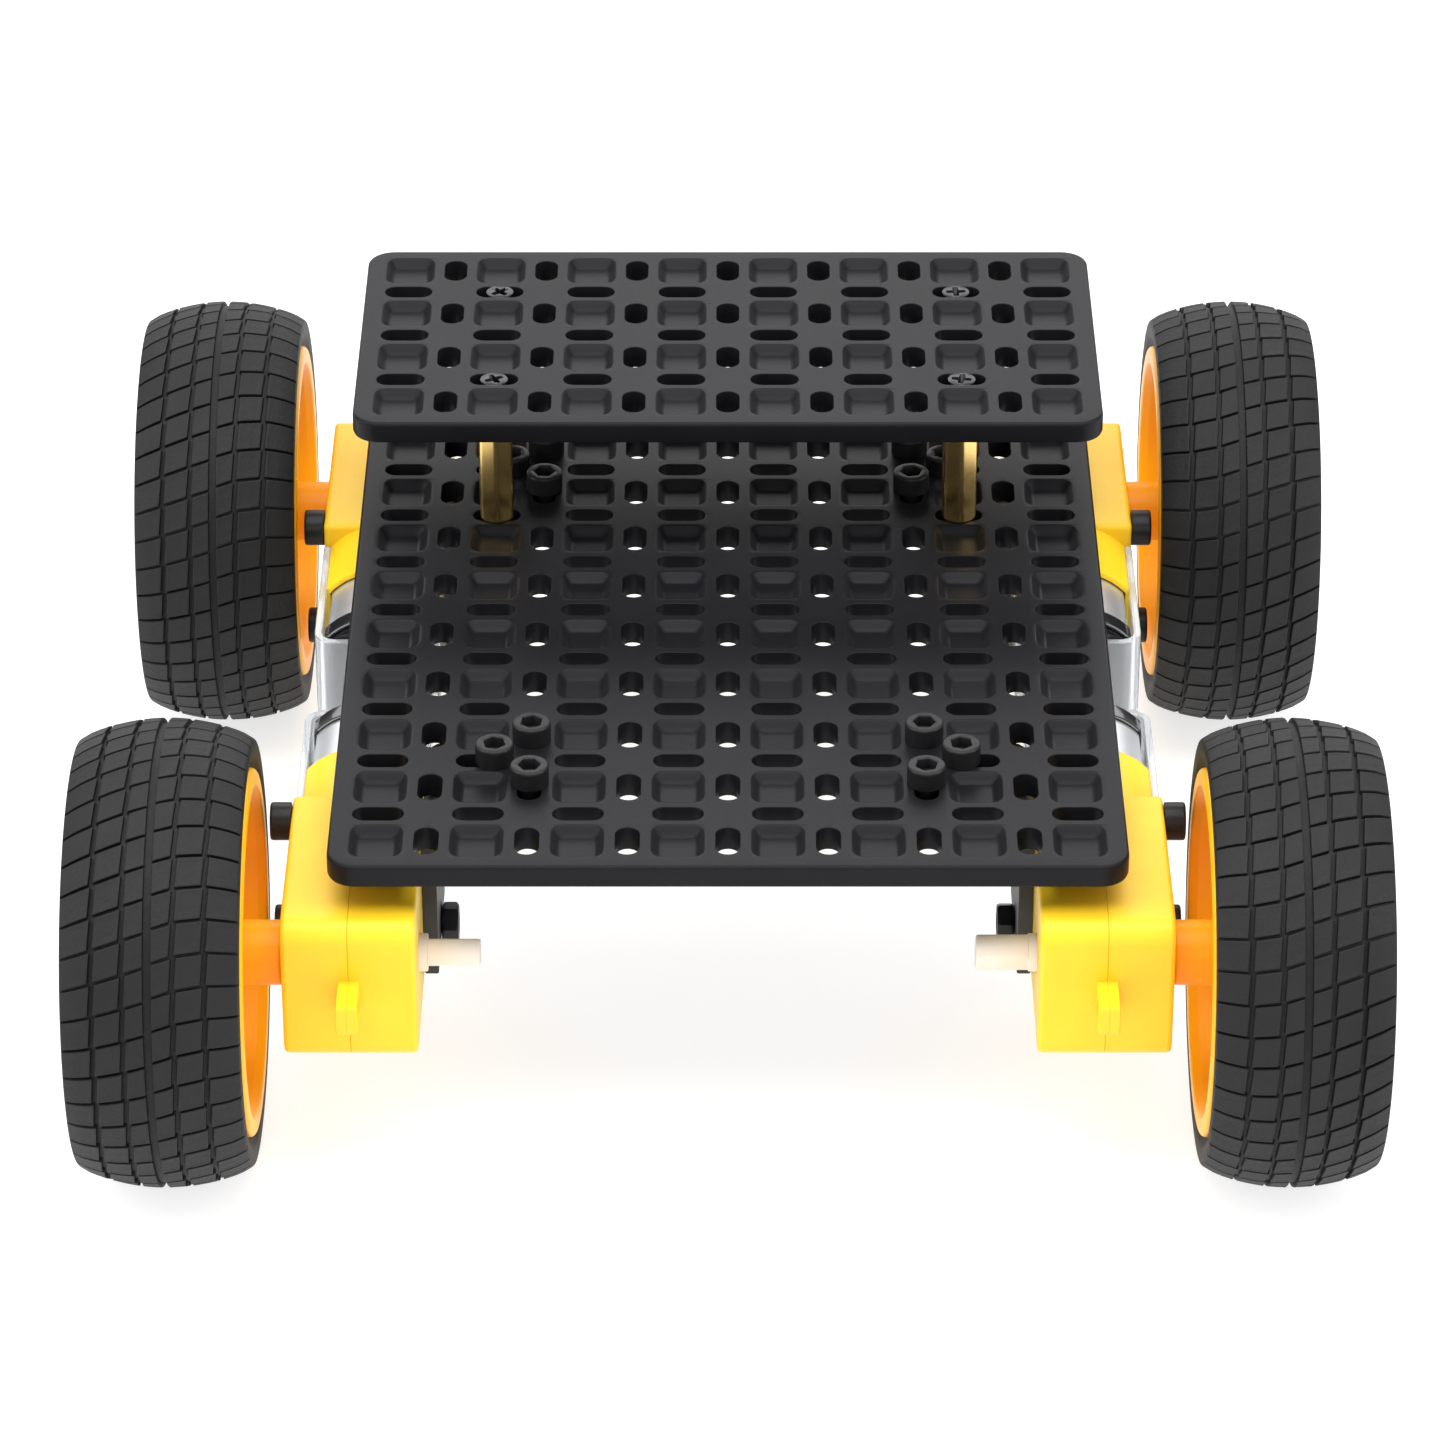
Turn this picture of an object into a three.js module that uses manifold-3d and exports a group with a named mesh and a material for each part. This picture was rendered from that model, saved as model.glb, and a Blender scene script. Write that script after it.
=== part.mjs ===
// A four-wheeled robot chassis: two slotted plates on standoffs, four geared motors and four road
// wheels. Millimetres, +Z up, +X to the right, -Y to the front. The origin is on the floor, under
// the middle of the chassis.
import * as THREE from "three";
import { mergeVertices } from "three/addons/utils/BufferGeometryUtils.js";
import Module from "manifold-3d";

const wasm = await Module();
wasm.setup();

// Slotted plates: square cells, with a slot on each side of a cell
const PITCH = 14;
const COLUMNS = 8;
const LOWER_ROWS = 10;
const UPPER_ROWS = 4;
const PLATE_THICKNESS = 3.5;
const PLATE_TRIM = 0.3;
const PLATE_CORNER_RADIUS = 4;
const SLOT_LENGTH = 7.2;
const SLOT_WIDTH = 3.4;
const SLOT_END_CUT = 0.7;
const LOWER_PLATE_BOTTOM = 48.5;

// Hex standoffs between the plates
const STANDOFF_LENGTH = 20;
const STANDOFF_FLATS = 5;
const STANDOFF_BORE_RADIUS = 1.25;
const STANDOFF_COLUMN = 2.5;
const STANDOFF_ROWS = [6.5, 8.5];

// Wheels
const WHEEL_RADIUS = 33;
const WHEELBASE = 125;
const WHEEL_CENTRE_X = 78.8;
const WHEEL_SEGMENTS = 20;
const RIM_WINDOWS = 5;
const WINDOW_OUTER_RADIUS = 19;
const WINDOW_INNER_RADIUS = 10;
const WINDOW_OUTER_HALF_ANGLE = 22;
const WINDOW_INNER_HALF_ANGLE = 14;
const HUB_BORE_RADIUS = 2.95;

// Geared motors, in their own frame: x outwards along the output shaft, y towards the motor's tail
const GEARBOX_CENTRE_X = 52.8;
const GEARBOX_HALF_WIDTH = 9.4;
const GEARBOX_HALF_HEIGHT = 11.1;
const GEARBOX_NOSE_Y = -10.8;
const NOSE_CORNER_RADIUS = 2.5;
const GEARBOX_SHOULDER_Y = 24;
const NECK_END_Y = 37;
const NECK_RADIUS = 11.1;
const NECK_HALF_WIDTH = 8.5;
const SHELL_WALL = 1.2;
const PARTING_GAP = 0.05;
const MOTOR_SCREW_Y = 20.5;
const MOTOR_SCREW_Z = 8.75;
const SCREW_BOSS_RADIUS = 2.1;
const PIVOT_RADIUS = 0.95;
const PIVOT_END_X = 8;
const TAB_LENGTH = 6.6;
const TAB_HALF_HEIGHT = 2.3;
const TAB_HALF_THICKNESS = 1.5;
const TAB_CHAMFER = 0.5;
const TAB_HOLE_FROM_NOSE = 3.4;
const TAB_HOLE_RADIUS = 1.4;

// Output shaft: round in the gearbox, with two flats outside it
const SHAFT_RADIUS = 2.7;
const SHAFT_INNER_RADIUS = 2.5;
const SHAFT_FLAT = 1.85;
const SHAFT_HALF_LENGTH = 18;
const SHAFT_INNER_HALF_LENGTH = 7.9;
const SHAFT_ROUND_END = 10.6;
const SHAFT_FLATS_START = 9;
const SHAFT_BORE_RADIUS = 2.9;

// Gear train, 1:48 in three stages (8:24 crown, 8:32, 8:32)
const PINION_TEETH = 8;
const WHEEL_TEETH = 32;
const CROWN_TEETH = 24;
const FAST_MODULE = 0.5;
const SLOW_MODULE = 0.57;
const IDLER_Y = (SLOW_MODULE * (PINION_TEETH + WHEEL_TEETH)) / 2;
const CROWN_Y = IDLER_Y + (FAST_MODULE * (PINION_TEETH + WHEEL_TEETH)) / 2;
const GEAR_BORE_RADIUS = 1.2;
const ADDENDUM = 0.6;
const DEDENDUM = 1;
const HALF_TOOTH = 0.5;
const OUTPUT_GEAR_X = [-5.2, -2.4];
const IDLER_WHEEL_X = [1, 3.6];
const IDLER_PINION_START_X = -5.8;
const CROWN_RADIUS = 6.2;
const CROWN_BACK_X = -4.9;
const CROWN_ROOT_X = -2.6;
const CROWN_TIP_X = -1.7;
const CROWN_PINION_END_X = 4.2;

// Motor
const MOTOR_RADIUS = 10;
const MOTOR_HALF_FLATS = 7.55;
const CAN_START_Y = 28.3;
const CAN_END_Y = 48.4;
const CAN_WALL = 0.8;
const CAP_STEP = 0.2;
const CAP_END_Y = 51.4;
const CAP_BOSS_END_Y = 53.6;
const CAP_BOSS_RADIUS = 3.2;
const MOTOR_CLEARANCE = 0.15;
const MOTOR_SHAFT_RADIUS = 1;
const MOTOR_SHAFT_END_Y = 53;
const MOTOR_BORE_RADIUS = 1.25;
const MOTOR_PINION_Y = [CROWN_Y + 4.2, 27.8];
const ROTOR_RADIUS = 6.2;
const ROTOR_CORE_Y = [31.3, 44.4];

// Motor bracket, bent from one strip
const BRACKET_THICKNESS = 2;
const BRACKET_BEND = 1;
const BRACKET_HALF_WIDTH = 10.5;
const BRACKET_INNER_X = 23.5;
const BRACKET_BOTTOM = 22.6;
const BRACKET_SCREW_X = 28;
const BRACKET_SCREW_HALF_SPACING = 5.75;
const BRACKET_OUTER_SCREW_X = 33.1;

// M3 screws and nuts
const SCREW_RADIUS = 1.5;
const SCREW_HOLE_RADIUS = 1.65;
const HEAD_RADIUS = 2.75;
const HEAD_HEIGHT = 3;
const SOCKET_RADIUS = 1.4;
const SOCKET_DEPTH = 1.3;
const NUT_FLATS = 5.5;
const NUT_THICKNESS = 2.4;
const SCREW_TIP = 0.6;

// Clearance left between pieces that rest on each other
const REST_GAP = 0.1;

// Depth by which solids that are joined into one run into each other
const JOIN = 0.1;

// Further out than any piece: solids that cut right through others reach this far
const FAR = 80;

const AXLE_Y = WHEELBASE / 2;
const LOWER_PLATE_TOP = LOWER_PLATE_BOTTOM + PLATE_THICKNESS;
const UPPER_PLATE_BOTTOM = LOWER_PLATE_TOP + STANDOFF_LENGTH;
const LOWER_FIRST_ROW_Y = (-(LOWER_ROWS - 1) * PITCH) / 2;
const UPPER_FIRST_ROW_Y = LOWER_FIRST_ROW_Y + (LOWER_ROWS - UPPER_ROWS) * PITCH;

const finish = (color, roughness, metalness) => () =>
  new THREE.MeshStandardMaterial({ color, roughness, metalness });
const platePlastic = finish(0x38383c, 0.55, 0);
const brass = finish(0xb98b3a, 0.3, 1);
const yellowPlastic = finish(0xfed42f, 0.45, 0);
const orangePlastic = finish(0xfca518, 0.4, 0);
const milkyPlastic = finish(0xe8ddd0, 0.5, 0);
const tyreRubber = finish(0x353537, 0.85, 0);
const motorSteel = finish(0xb8babd, 0.3, 1);
const rotorCopper = finish(0xb0683a, 0.4, 1);
const capNylon = finish(0xe9ecee, 0.5, 0);
const blackSteel = finish(0x1b1b1d, 0.45, 0.6);

// ---------------------------------------------------------------- solids

function solidOf(geometry) {
  const bare = geometry.index ? geometry.toNonIndexed() : geometry.clone();
  bare.deleteAttribute("normal");
  bare.deleteAttribute("uv");
  const merged = mergeVertices(bare, 1e-4);
  const corners = merged.index.array;
  const faces = [];
  for (let i = 0; i < corners.length; i += 3) {
    const [a, b, c] = corners.slice(i, i + 3);
    if (a !== b && b !== c && c !== a) faces.push(a, b, c);
  }
  return new wasm.Manifold(
    new wasm.Mesh({
      numProp: 3,
      vertProperties: merged.attributes.position.array,
      triVerts: new Uint32Array(faces),
    }),
  );
}

function geometryOf(solid) {
  const mesh = solid.getMesh();
  const geometry = new THREE.BufferGeometry();
  geometry.setAttribute("position", new THREE.BufferAttribute(mesh.vertProperties, mesh.numProp));
  geometry.setIndex(new THREE.BufferAttribute(mesh.triVerts, 1));
  return geometry;
}

function outline(points) {
  return new THREE.Shape(points.map(([u, v]) => new THREE.Vector2(u, v)));
}

function hole(points) {
  return new THREE.Path(points.map(([u, v]) => new THREE.Vector2(u, v)));
}

// Prisms along each axis: the outline's two coordinates are the other two axes, in turn.
function prismZ(points, low, high, holes = []) {
  const shape = outline(points);
  shape.holes = holes.map(hole);
  const geometry = new THREE.ExtrudeGeometry(shape, { depth: high - low, bevelEnabled: false });
  return solidOf(geometry.translate(0, 0, low));
}

const X_AXIS = new THREE.Vector3(1, 0, 0);
const Y_AXIS = new THREE.Vector3(0, 1, 0);
const Z_AXIS = new THREE.Vector3(0, 0, 1);

function turned(solid, firstAxis, secondAxis, thirdAxis) {
  const matrix = new THREE.Matrix4().makeBasis(firstAxis, secondAxis, thirdAxis);
  return solidOf(geometryOf(solid).applyMatrix4(matrix));
}

// Outline in (y, z), from x = low to high
function prismX(points, low, high) {
  return turned(prismZ(points, low, high), Y_AXIS, Z_AXIS, X_AXIS);
}

// Outline in (z, x), from y = low to high
function prismY(points, low, high) {
  return turned(prismZ(points, low, high), Z_AXIS, X_AXIS, Y_AXIS);
}

function rectangle(uLow, vLow, uHigh, vHigh) {
  return [
    [uLow, vLow],
    [uHigh, vLow],
    [uHigh, vHigh],
    [uLow, vHigh],
  ];
}

function arc(u, v, radius, fromDegrees, toDegrees, steps) {
  const points = [];
  for (let i = 0; i <= steps; i++) {
    const angle = THREE.MathUtils.degToRad(
      fromDegrees + ((toDegrees - fromDegrees) * i) / steps,
    );
    points.push([u + radius * Math.cos(angle), v + radius * Math.sin(angle)]);
  }
  return points;
}

function circle(u, v, radius, sides, startDegrees = 180 / sides) {
  return arc(u, v, radius, startDegrees, startDegrees + 360, sides).slice(0, sides);
}

function hexagon(u, v, flats) {
  return circle(u, v, flats / 2 / Math.cos(Math.PI / 6), 6);
}

function roundedRectangle(uLow, vLow, uHigh, vHigh, radius, steps) {
  return [
    ...arc(uHigh - radius, vLow + radius, radius, -90, 0, steps),
    ...arc(uHigh - radius, vHigh - radius, radius, 0, 90, steps),
    ...arc(uLow + radius, vHigh - radius, radius, 90, 180, steps),
    ...arc(uLow + radius, vLow + radius, radius, 180, 270, steps),
  ];
}

// A wheel-shaped solid turned about the X axis from a profile of [radius, x] points, which closes
// on itself. Its flats, not its corners, are at the stated radii, so that it stands on a flat.
function turnedAboutX(profile, segments) {
  const corner = 1 / Math.cos(Math.PI / segments);
  const loop = [...profile, profile[0]];
  const points = loop.map(([radius, x]) => new THREE.Vector2(radius * corner, x));
  const geometry = new THREE.LatheGeometry(points, segments, Math.PI / segments);
  return turned(solidOf(geometry), Y_AXIS, X_AXIS, Z_AXIS.clone().negate());
}

// ---------------------------------------------------------------- plates and standoffs

function slotOutline(u, v, halfLengthU, halfLengthV) {
  const halfWidth = Math.min(halfLengthU, halfLengthV);
  const cut = halfWidth * SLOT_END_CUT;
  if (halfLengthU > halfLengthV)
    return [
      [u - halfLengthU, v],
      [u - halfLengthU + cut, v - halfWidth],
      [u + halfLengthU - cut, v - halfWidth],
      [u + halfLengthU, v],
      [u + halfLengthU - cut, v + halfWidth],
      [u - halfLengthU + cut, v + halfWidth],
    ];
  return slotOutline(v, u, halfLengthV, halfLengthU)
    .map(([a, b]) => [b, a])
    .reverse();
}

function slottedPlate(rows, firstRowY, bottom) {
  const halfWidth = (COLUMNS * PITCH) / 2 - PLATE_TRIM;
  const frontY = firstRowY - PITCH / 2 + PLATE_TRIM;
  const rearY = firstRowY + (rows - 0.5) * PITCH - PLATE_TRIM;
  const slots = [];
  for (let row = 0; row < rows; row++) {
    const y = firstRowY + row * PITCH;
    for (let column = 1; column < COLUMNS; column++) {
      const x = (column - COLUMNS / 2) * PITCH;
      slots.push(slotOutline(x, y, SLOT_WIDTH / 2, SLOT_LENGTH / 2));
    }
    if (row === rows - 1) continue;
    for (let column = 0; column < COLUMNS; column++) {
      const x = (column + 0.5 - COLUMNS / 2) * PITCH;
      slots.push(slotOutline(x, y + PITCH / 2, SLOT_LENGTH / 2, SLOT_WIDTH / 2));
    }
  }
  const edge = roundedRectangle(
    -halfWidth,
    frontY,
    halfWidth,
    rearY,
    PLATE_CORNER_RADIUS,
    3,
  );
  return prismZ(edge, bottom, bottom + PLATE_THICKNESS, slots);
}

function standoff() {
  return prismZ(hexagon(0, 0, STANDOFF_FLATS), REST_GAP, STANDOFF_LENGTH - REST_GAP, [
    circle(0, 0, STANDOFF_BORE_RADIUS, 6),
  ]);
}

// ---------------------------------------------------------------- wheels

// Both are turned about the wheel's axis, with x = 0 at the wheel's mid-plane and x outwards.
function tyre() {
  return turnedAboutX(
    [
      [24.8, -8.9],
      [26.3, -10.8],
      [29.4, -12.1],
      [31.6, -8.6],
      [WHEEL_RADIUS, -3.5],
      [WHEEL_RADIUS, 3.5],
      [31.6, 8.6],
      [29.4, 12.1],
      [26.3, 10.8],
      [24.8, 8.9],
    ],
    WHEEL_SEGMENTS,
  );
}

function rim() {
  const body = turnedAboutX(
    [
      [0, -16.1],
      [4.6, -16.1],
      [4.6, 1.0],
      [22.6, 1.0],
      [23.2, -12.4],
      [26.0, -12.4],
      [26.0, -11.0],
      [24.6, -9.2],
      [24.6, 9.2],
      [26.0, 11.0],
      [26.0, 12.4],
      [23.2, 12.4],
      [22.6, 3.6],
      [0, 3.6],
    ],
    WHEEL_SEGMENTS,
  );
  let cut = prismX(circle(0, 0, HUB_BORE_RADIUS, 8), -FAR, FAR);
  for (let i = 0; i < RIM_WINDOWS; i++) {
    const middle = 90 + (360 * i) / RIM_WINDOWS;
    const outerStart = middle - WINDOW_OUTER_HALF_ANGLE;
    const outerEnd = middle + WINDOW_OUTER_HALF_ANGLE;
    const innerStart = middle + WINDOW_INNER_HALF_ANGLE;
    const innerEnd = middle - WINDOW_INNER_HALF_ANGLE;
    const window = [
      ...arc(0, 0, WINDOW_OUTER_RADIUS, outerStart, outerEnd, 2),
      ...arc(0, 0, WINDOW_INNER_RADIUS, innerStart, innerEnd, 1),
    ];
    cut = cut.add(prismX(window, -FAR, FAR));
  }
  return body.subtract(cut);
}

// ---------------------------------------------------------------- gears

// Straight-sided teeth; teeth are thinner than the gaps, so the train runs with backlash.
function toothedOutline(teeth, module, phase) {
  const tipRadius = (teeth / 2 + ADDENDUM) * module;
  const rootRadius = (teeth / 2 - DEDENDUM) * module;
  const points = [];
  for (let i = 0; i < teeth; i++) {
    const tip = (2 * Math.PI * (i + phase)) / teeth;
    const root = (2 * Math.PI * (i + phase + HALF_TOOTH)) / teeth;
    points.push([tipRadius * Math.cos(tip), tipRadius * Math.sin(tip)]);
    points.push([rootRadius * Math.cos(root), rootRadius * Math.sin(root)]);
  }
  return points;
}

// Double-D section of the output shaft, its flats turned to flatDegrees
function shaftSection(flatDegrees) {
  const halfChord = THREE.MathUtils.radToDeg(Math.asin(SHAFT_FLAT / SHAFT_RADIUS));
  return [
    ...arc(0, 0, SHAFT_RADIUS, flatDegrees - halfChord, flatDegrees + halfChord, 2),
    ...arc(0, 0, SHAFT_RADIUS, flatDegrees + 180 - halfChord, flatDegrees + 180 + halfChord, 2),
  ];
}

function outputShaft(flatDegrees) {
  const inner = SHAFT_INNER_HALF_LENGTH;
  const innerSection = circle(0, 0, SHAFT_INNER_RADIUS, 8);
  const roundSection = circle(0, 0, SHAFT_RADIUS, 10);
  const flatSection = shaftSection(flatDegrees);
  return prismX(toothedOutline(WHEEL_TEETH, SLOW_MODULE, 0), ...OUTPUT_GEAR_X)
    .add(prismX(innerSection, -inner, inner))
    .add(prismX(roundSection, -SHAFT_ROUND_END, JOIN - inner))
    .add(prismX(roundSection, inner - JOIN, GEARBOX_HALF_WIDTH))
    .add(prismX(flatSection, -SHAFT_HALF_LENGTH, -SHAFT_FLATS_START))
    .add(prismX(flatSection, SHAFT_FLATS_START, SHAFT_HALF_LENGTH));
}

function idlerGear() {
  const pinion = toothedOutline(PINION_TEETH, SLOW_MODULE, HALF_TOOTH);
  return prismX(toothedOutline(WHEEL_TEETH, FAST_MODULE, 0), ...IDLER_WHEEL_X)
    .add(prismX(pinion, IDLER_PINION_START_X, IDLER_WHEEL_X[0] + JOIN))
    .subtract(prismX(circle(0, 0, GEAR_BORE_RADIUS, 6), -FAR, FAR));
}

// A face gear: a disc with a ring of radial teeth on its +x side, and a spur pinion through it
function crownGear() {
  const count = 2 * CROWN_TEETH;
  const vertices = [CROWN_BACK_X, 0, 0, CROWN_ROOT_X, 0, 0];
  for (let i = 0; i < count; i++) {
    const angle = (2 * Math.PI * i) / count;
    const y = CROWN_RADIUS * Math.cos(angle);
    const z = CROWN_RADIUS * Math.sin(angle);
    vertices.push(CROWN_BACK_X, y, z);
    vertices.push(i % 2 ? CROWN_ROOT_X : CROWN_TIP_X, y, z);
  }
  const faces = [];
  for (let i = 0; i < count; i++) {
    const here = 2 + 2 * i;
    const next = 2 + 2 * ((i + 1) % count);
    faces.push(0, next, here);
    faces.push(here, next, next + 1, here, next + 1, here + 1);
    faces.push(here + 1, next + 1, 1);
  }
  const geometry = new THREE.BufferGeometry();
  geometry.setAttribute("position", new THREE.Float32BufferAttribute(vertices, 3));
  geometry.setIndex(faces);
  const pinion = toothedOutline(PINION_TEETH, FAST_MODULE, HALF_TOOTH);
  return solidOf(geometry)
    .add(prismX(pinion, CROWN_ROOT_X - JOIN, CROWN_PINION_END_X))
    .subtract(prismX(circle(0, 0, GEAR_BORE_RADIUS, 6), -FAR, FAR));
}

// ---------------------------------------------------------------- gearbox and motor

// The motor's section: round, with two flats that face along x
function flattedSection(radius, halfFlats, steps) {
  const limit = THREE.MathUtils.radToDeg(Math.asin(halfFlats / radius));
  return [
    ...arc(0, 0, radius, -limit, limit, steps),
    ...arc(0, 0, radius, 180 - limit, 180 + limit, steps),
  ];
}

function tabOutline() {
  const tip = GEARBOX_NOSE_Y - TAB_LENGTH;
  return [
    [GEARBOX_NOSE_Y + JOIN, TAB_HALF_HEIGHT],
    [tip + TAB_CHAMFER, TAB_HALF_HEIGHT],
    [tip, TAB_HALF_HEIGHT - TAB_CHAMFER],
    [tip, TAB_CHAMFER - TAB_HALF_HEIGHT],
    [tip + TAB_CHAMFER, -TAB_HALF_HEIGHT],
    [GEARBOX_NOSE_Y + JOIN, -TAB_HALF_HEIGHT],
  ];
}

// The outer half of the gearbox: a tray with a round neck for the motor, screw bosses, and half
// of the flat tab on its nose
function outerShell() {
  const nose = GEARBOX_NOSE_Y;
  const top = GEARBOX_HALF_HEIGHT;
  const bend = NOSE_CORNER_RADIUS;
  const innerFace = GEARBOX_HALF_WIDTH - SHELL_WALL;
  const bodyOutline = [
    ...arc(nose + bend, bend - top, bend, 180, 270, 2),
    [GEARBOX_SHOULDER_Y, -top],
    [GEARBOX_SHOULDER_Y, top],
    ...arc(nose + bend, top - bend, bend, 90, 180, 2),
  ];
  const room = rectangle(
    nose + SHELL_WALL,
    SHELL_WALL - top,
    GEARBOX_SHOULDER_Y - SHELL_WALL,
    top - SHELL_WALL,
  );
  const neckSection = flattedSection(NECK_RADIUS, NECK_HALF_WIDTH, 6);
  const motorRoom = flattedSection(
    MOTOR_RADIUS + MOTOR_CLEARANCE,
    MOTOR_HALF_FLATS + MOTOR_CLEARANCE,
    6,
  );
  const outerHalf = prismX(rectangle(-FAR, -FAR, FAR, FAR), PARTING_GAP, FAR);
  let shell = prismX(bodyOutline, 0, GEARBOX_HALF_WIDTH)
    .add(prismY(neckSection, GEARBOX_SHOULDER_Y - JOIN, NECK_END_Y).intersect(outerHalf))
    .subtract(prismX(room, -FAR, innerFace))
    .subtract(prismY(motorRoom, GEARBOX_SHOULDER_Y - SHELL_WALL - JOIN, FAR));
  for (const z of [-MOTOR_SCREW_Z, MOTOR_SCREW_Z])
    shell = shell
      .add(prismX(circle(MOTOR_SCREW_Y, z, SCREW_BOSS_RADIUS, 6), 0, innerFace + JOIN))
      .subtract(prismX(circle(MOTOR_SCREW_Y, z, SCREW_HOLE_RADIUS, 6), -FAR, FAR));
  return shell
    .add(prismX(tabOutline(), 0, TAB_HALF_THICKNESS))
    .subtract(prismX(circle(nose - TAB_HOLE_FROM_NOSE, 0, TAB_HOLE_RADIUS, 6), -FAR, FAR))
    .subtract(prismX(circle(0, 0, SHAFT_BORE_RADIUS, 10), -FAR, FAR))
    .intersect(outerHalf);
}

// The inner half is the outer half turned over, with the two spindles that the gears turn on.
function innerShell() {
  const innerFace = GEARBOX_HALF_WIDTH - SHELL_WALL;
  let shell = turned(outerShell(), X_AXIS.clone().negate(), Y_AXIS, Z_AXIS.clone().negate());
  for (const y of [IDLER_Y, CROWN_Y])
    shell = shell.add(prismX(circle(y, 0, PIVOT_RADIUS, 6), -innerFace - JOIN, PIVOT_END_X));
  return shell;
}

function motorCan() {
  const outside = prismY(flattedSection(MOTOR_RADIUS, MOTOR_HALF_FLATS, 6), CAN_START_Y, CAN_END_Y);
  const insideSection = flattedSection(MOTOR_RADIUS - CAN_WALL, MOTOR_HALF_FLATS - CAN_WALL, 6);
  return outside
    .subtract(prismY(insideSection, CAN_START_Y + CAN_WALL, FAR))
    .subtract(prismY(circle(0, 0, MOTOR_BORE_RADIUS, 6), -FAR, FAR));
}

function motorEndCap() {
  const section = flattedSection(MOTOR_RADIUS - CAP_STEP, MOTOR_HALF_FLATS - CAP_STEP, 6);
  return prismY(section, CAN_END_Y + REST_GAP, CAP_END_Y)
    .add(prismY(circle(0, 0, CAP_BOSS_RADIUS, 8), CAP_END_Y - JOIN, CAP_BOSS_END_Y))
    .subtract(prismY(circle(0, 0, MOTOR_BORE_RADIUS, 6), -FAR, FAR));
}

function motorRotor() {
  return prismY(toothedOutline(PINION_TEETH, FAST_MODULE, HALF_TOOTH), ...MOTOR_PINION_Y)
    .add(prismY(circle(0, 0, MOTOR_SHAFT_RADIUS, 6), MOTOR_PINION_Y[1] - JOIN, MOTOR_SHAFT_END_Y))
    .add(prismY(circle(0, 0, ROTOR_RADIUS, 10), ...ROTOR_CORE_Y));
}

// ---------------------------------------------------------------- bracket and screws

// Drawn for the right-hand side, with y = 0 at its middle and x and z as in the chassis
function bracket() {
  const outerX = GEARBOX_CENTRE_X - GEARBOX_HALF_WIDTH - REST_GAP;
  const top = LOWER_PLATE_BOTTOM - REST_GAP;
  const section = [
    [BRACKET_BOTTOM, outerX - BRACKET_THICKNESS],
    [top - BRACKET_THICKNESS, outerX - BRACKET_THICKNESS],
    [top - BRACKET_THICKNESS, BRACKET_INNER_X],
    [top, BRACKET_INNER_X],
    [top, outerX - BRACKET_BEND],
    [top - BRACKET_BEND, outerX],
    [BRACKET_BOTTOM, outerX],
  ].reverse();
  let strip = prismY(section, -BRACKET_HALF_WIDTH, BRACKET_HALF_WIDTH);
  const plateScrews = [
    [BRACKET_SCREW_X, -BRACKET_SCREW_HALF_SPACING],
    [BRACKET_SCREW_X, BRACKET_SCREW_HALF_SPACING],
    [BRACKET_OUTER_SCREW_X, 0],
  ];
  for (const [x, y] of plateScrews)
    strip = strip.subtract(prismZ(circle(x, y, SCREW_HOLE_RADIUS, 6), -FAR, FAR));
  for (const z of [WHEEL_RADIUS - MOTOR_SCREW_Z, WHEEL_RADIUS + MOTOR_SCREW_Z])
    strip = strip.subtract(prismX(circle(0, z, SCREW_HOLE_RADIUS, 6), -FAR, FAR));
  return strip;
}

// A long cap screw through gearbox and bracket, with its nut run on
function motorScrew() {
  const headX = GEARBOX_HALF_WIDTH + REST_GAP;
  const nutX = -GEARBOX_HALF_WIDTH - BRACKET_THICKNESS - 2 * REST_GAP;
  return prismX(circle(0, 0, HEAD_RADIUS, 8), headX, headX + HEAD_HEIGHT)
    .subtract(prismX(circle(0, 0, SOCKET_RADIUS, 6), headX + HEAD_HEIGHT - SOCKET_DEPTH, FAR))
    .add(prismX(circle(0, 0, SCREW_RADIUS, 6), nutX - NUT_THICKNESS - SCREW_TIP, headX + JOIN))
    .add(prismX(hexagon(0, 0, NUT_FLATS), nutX - NUT_THICKNESS, nutX));
}

// ---------------------------------------------------------------- assembly

const robot = new THREE.Group();

function place(parent, name, geometry, material, x = 0, y = 0, z = 0) {
  const mesh = new THREE.Mesh(geometry, material());
  mesh.name = name;
  mesh.position.set(x, y, z);
  parent.add(mesh);
  return mesh;
}

place(
  robot,
  "lower_plate",
  geometryOf(slottedPlate(LOWER_ROWS, LOWER_FIRST_ROW_Y, LOWER_PLATE_BOTTOM)),
  platePlastic,
);
place(
  robot,
  "upper_plate",
  geometryOf(slottedPlate(UPPER_ROWS, UPPER_FIRST_ROW_Y, UPPER_PLATE_BOTTOM)),
  platePlastic,
);

const standoffGeometry = geometryOf(standoff());
for (const [end, row] of [
  ["front", STANDOFF_ROWS[0]],
  ["rear", STANDOFF_ROWS[1]],
])
  for (const [side, sign] of [
    ["left", -1],
    ["right", 1],
  ]) {
    const x = sign * STANDOFF_COLUMN * PITCH;
    const y = LOWER_FIRST_ROW_Y + row * PITCH;
    const name = `standoff_${end}_${side}`;
    place(robot, name, standoffGeometry, brass, x, y, LOWER_PLATE_TOP);
  }

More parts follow.
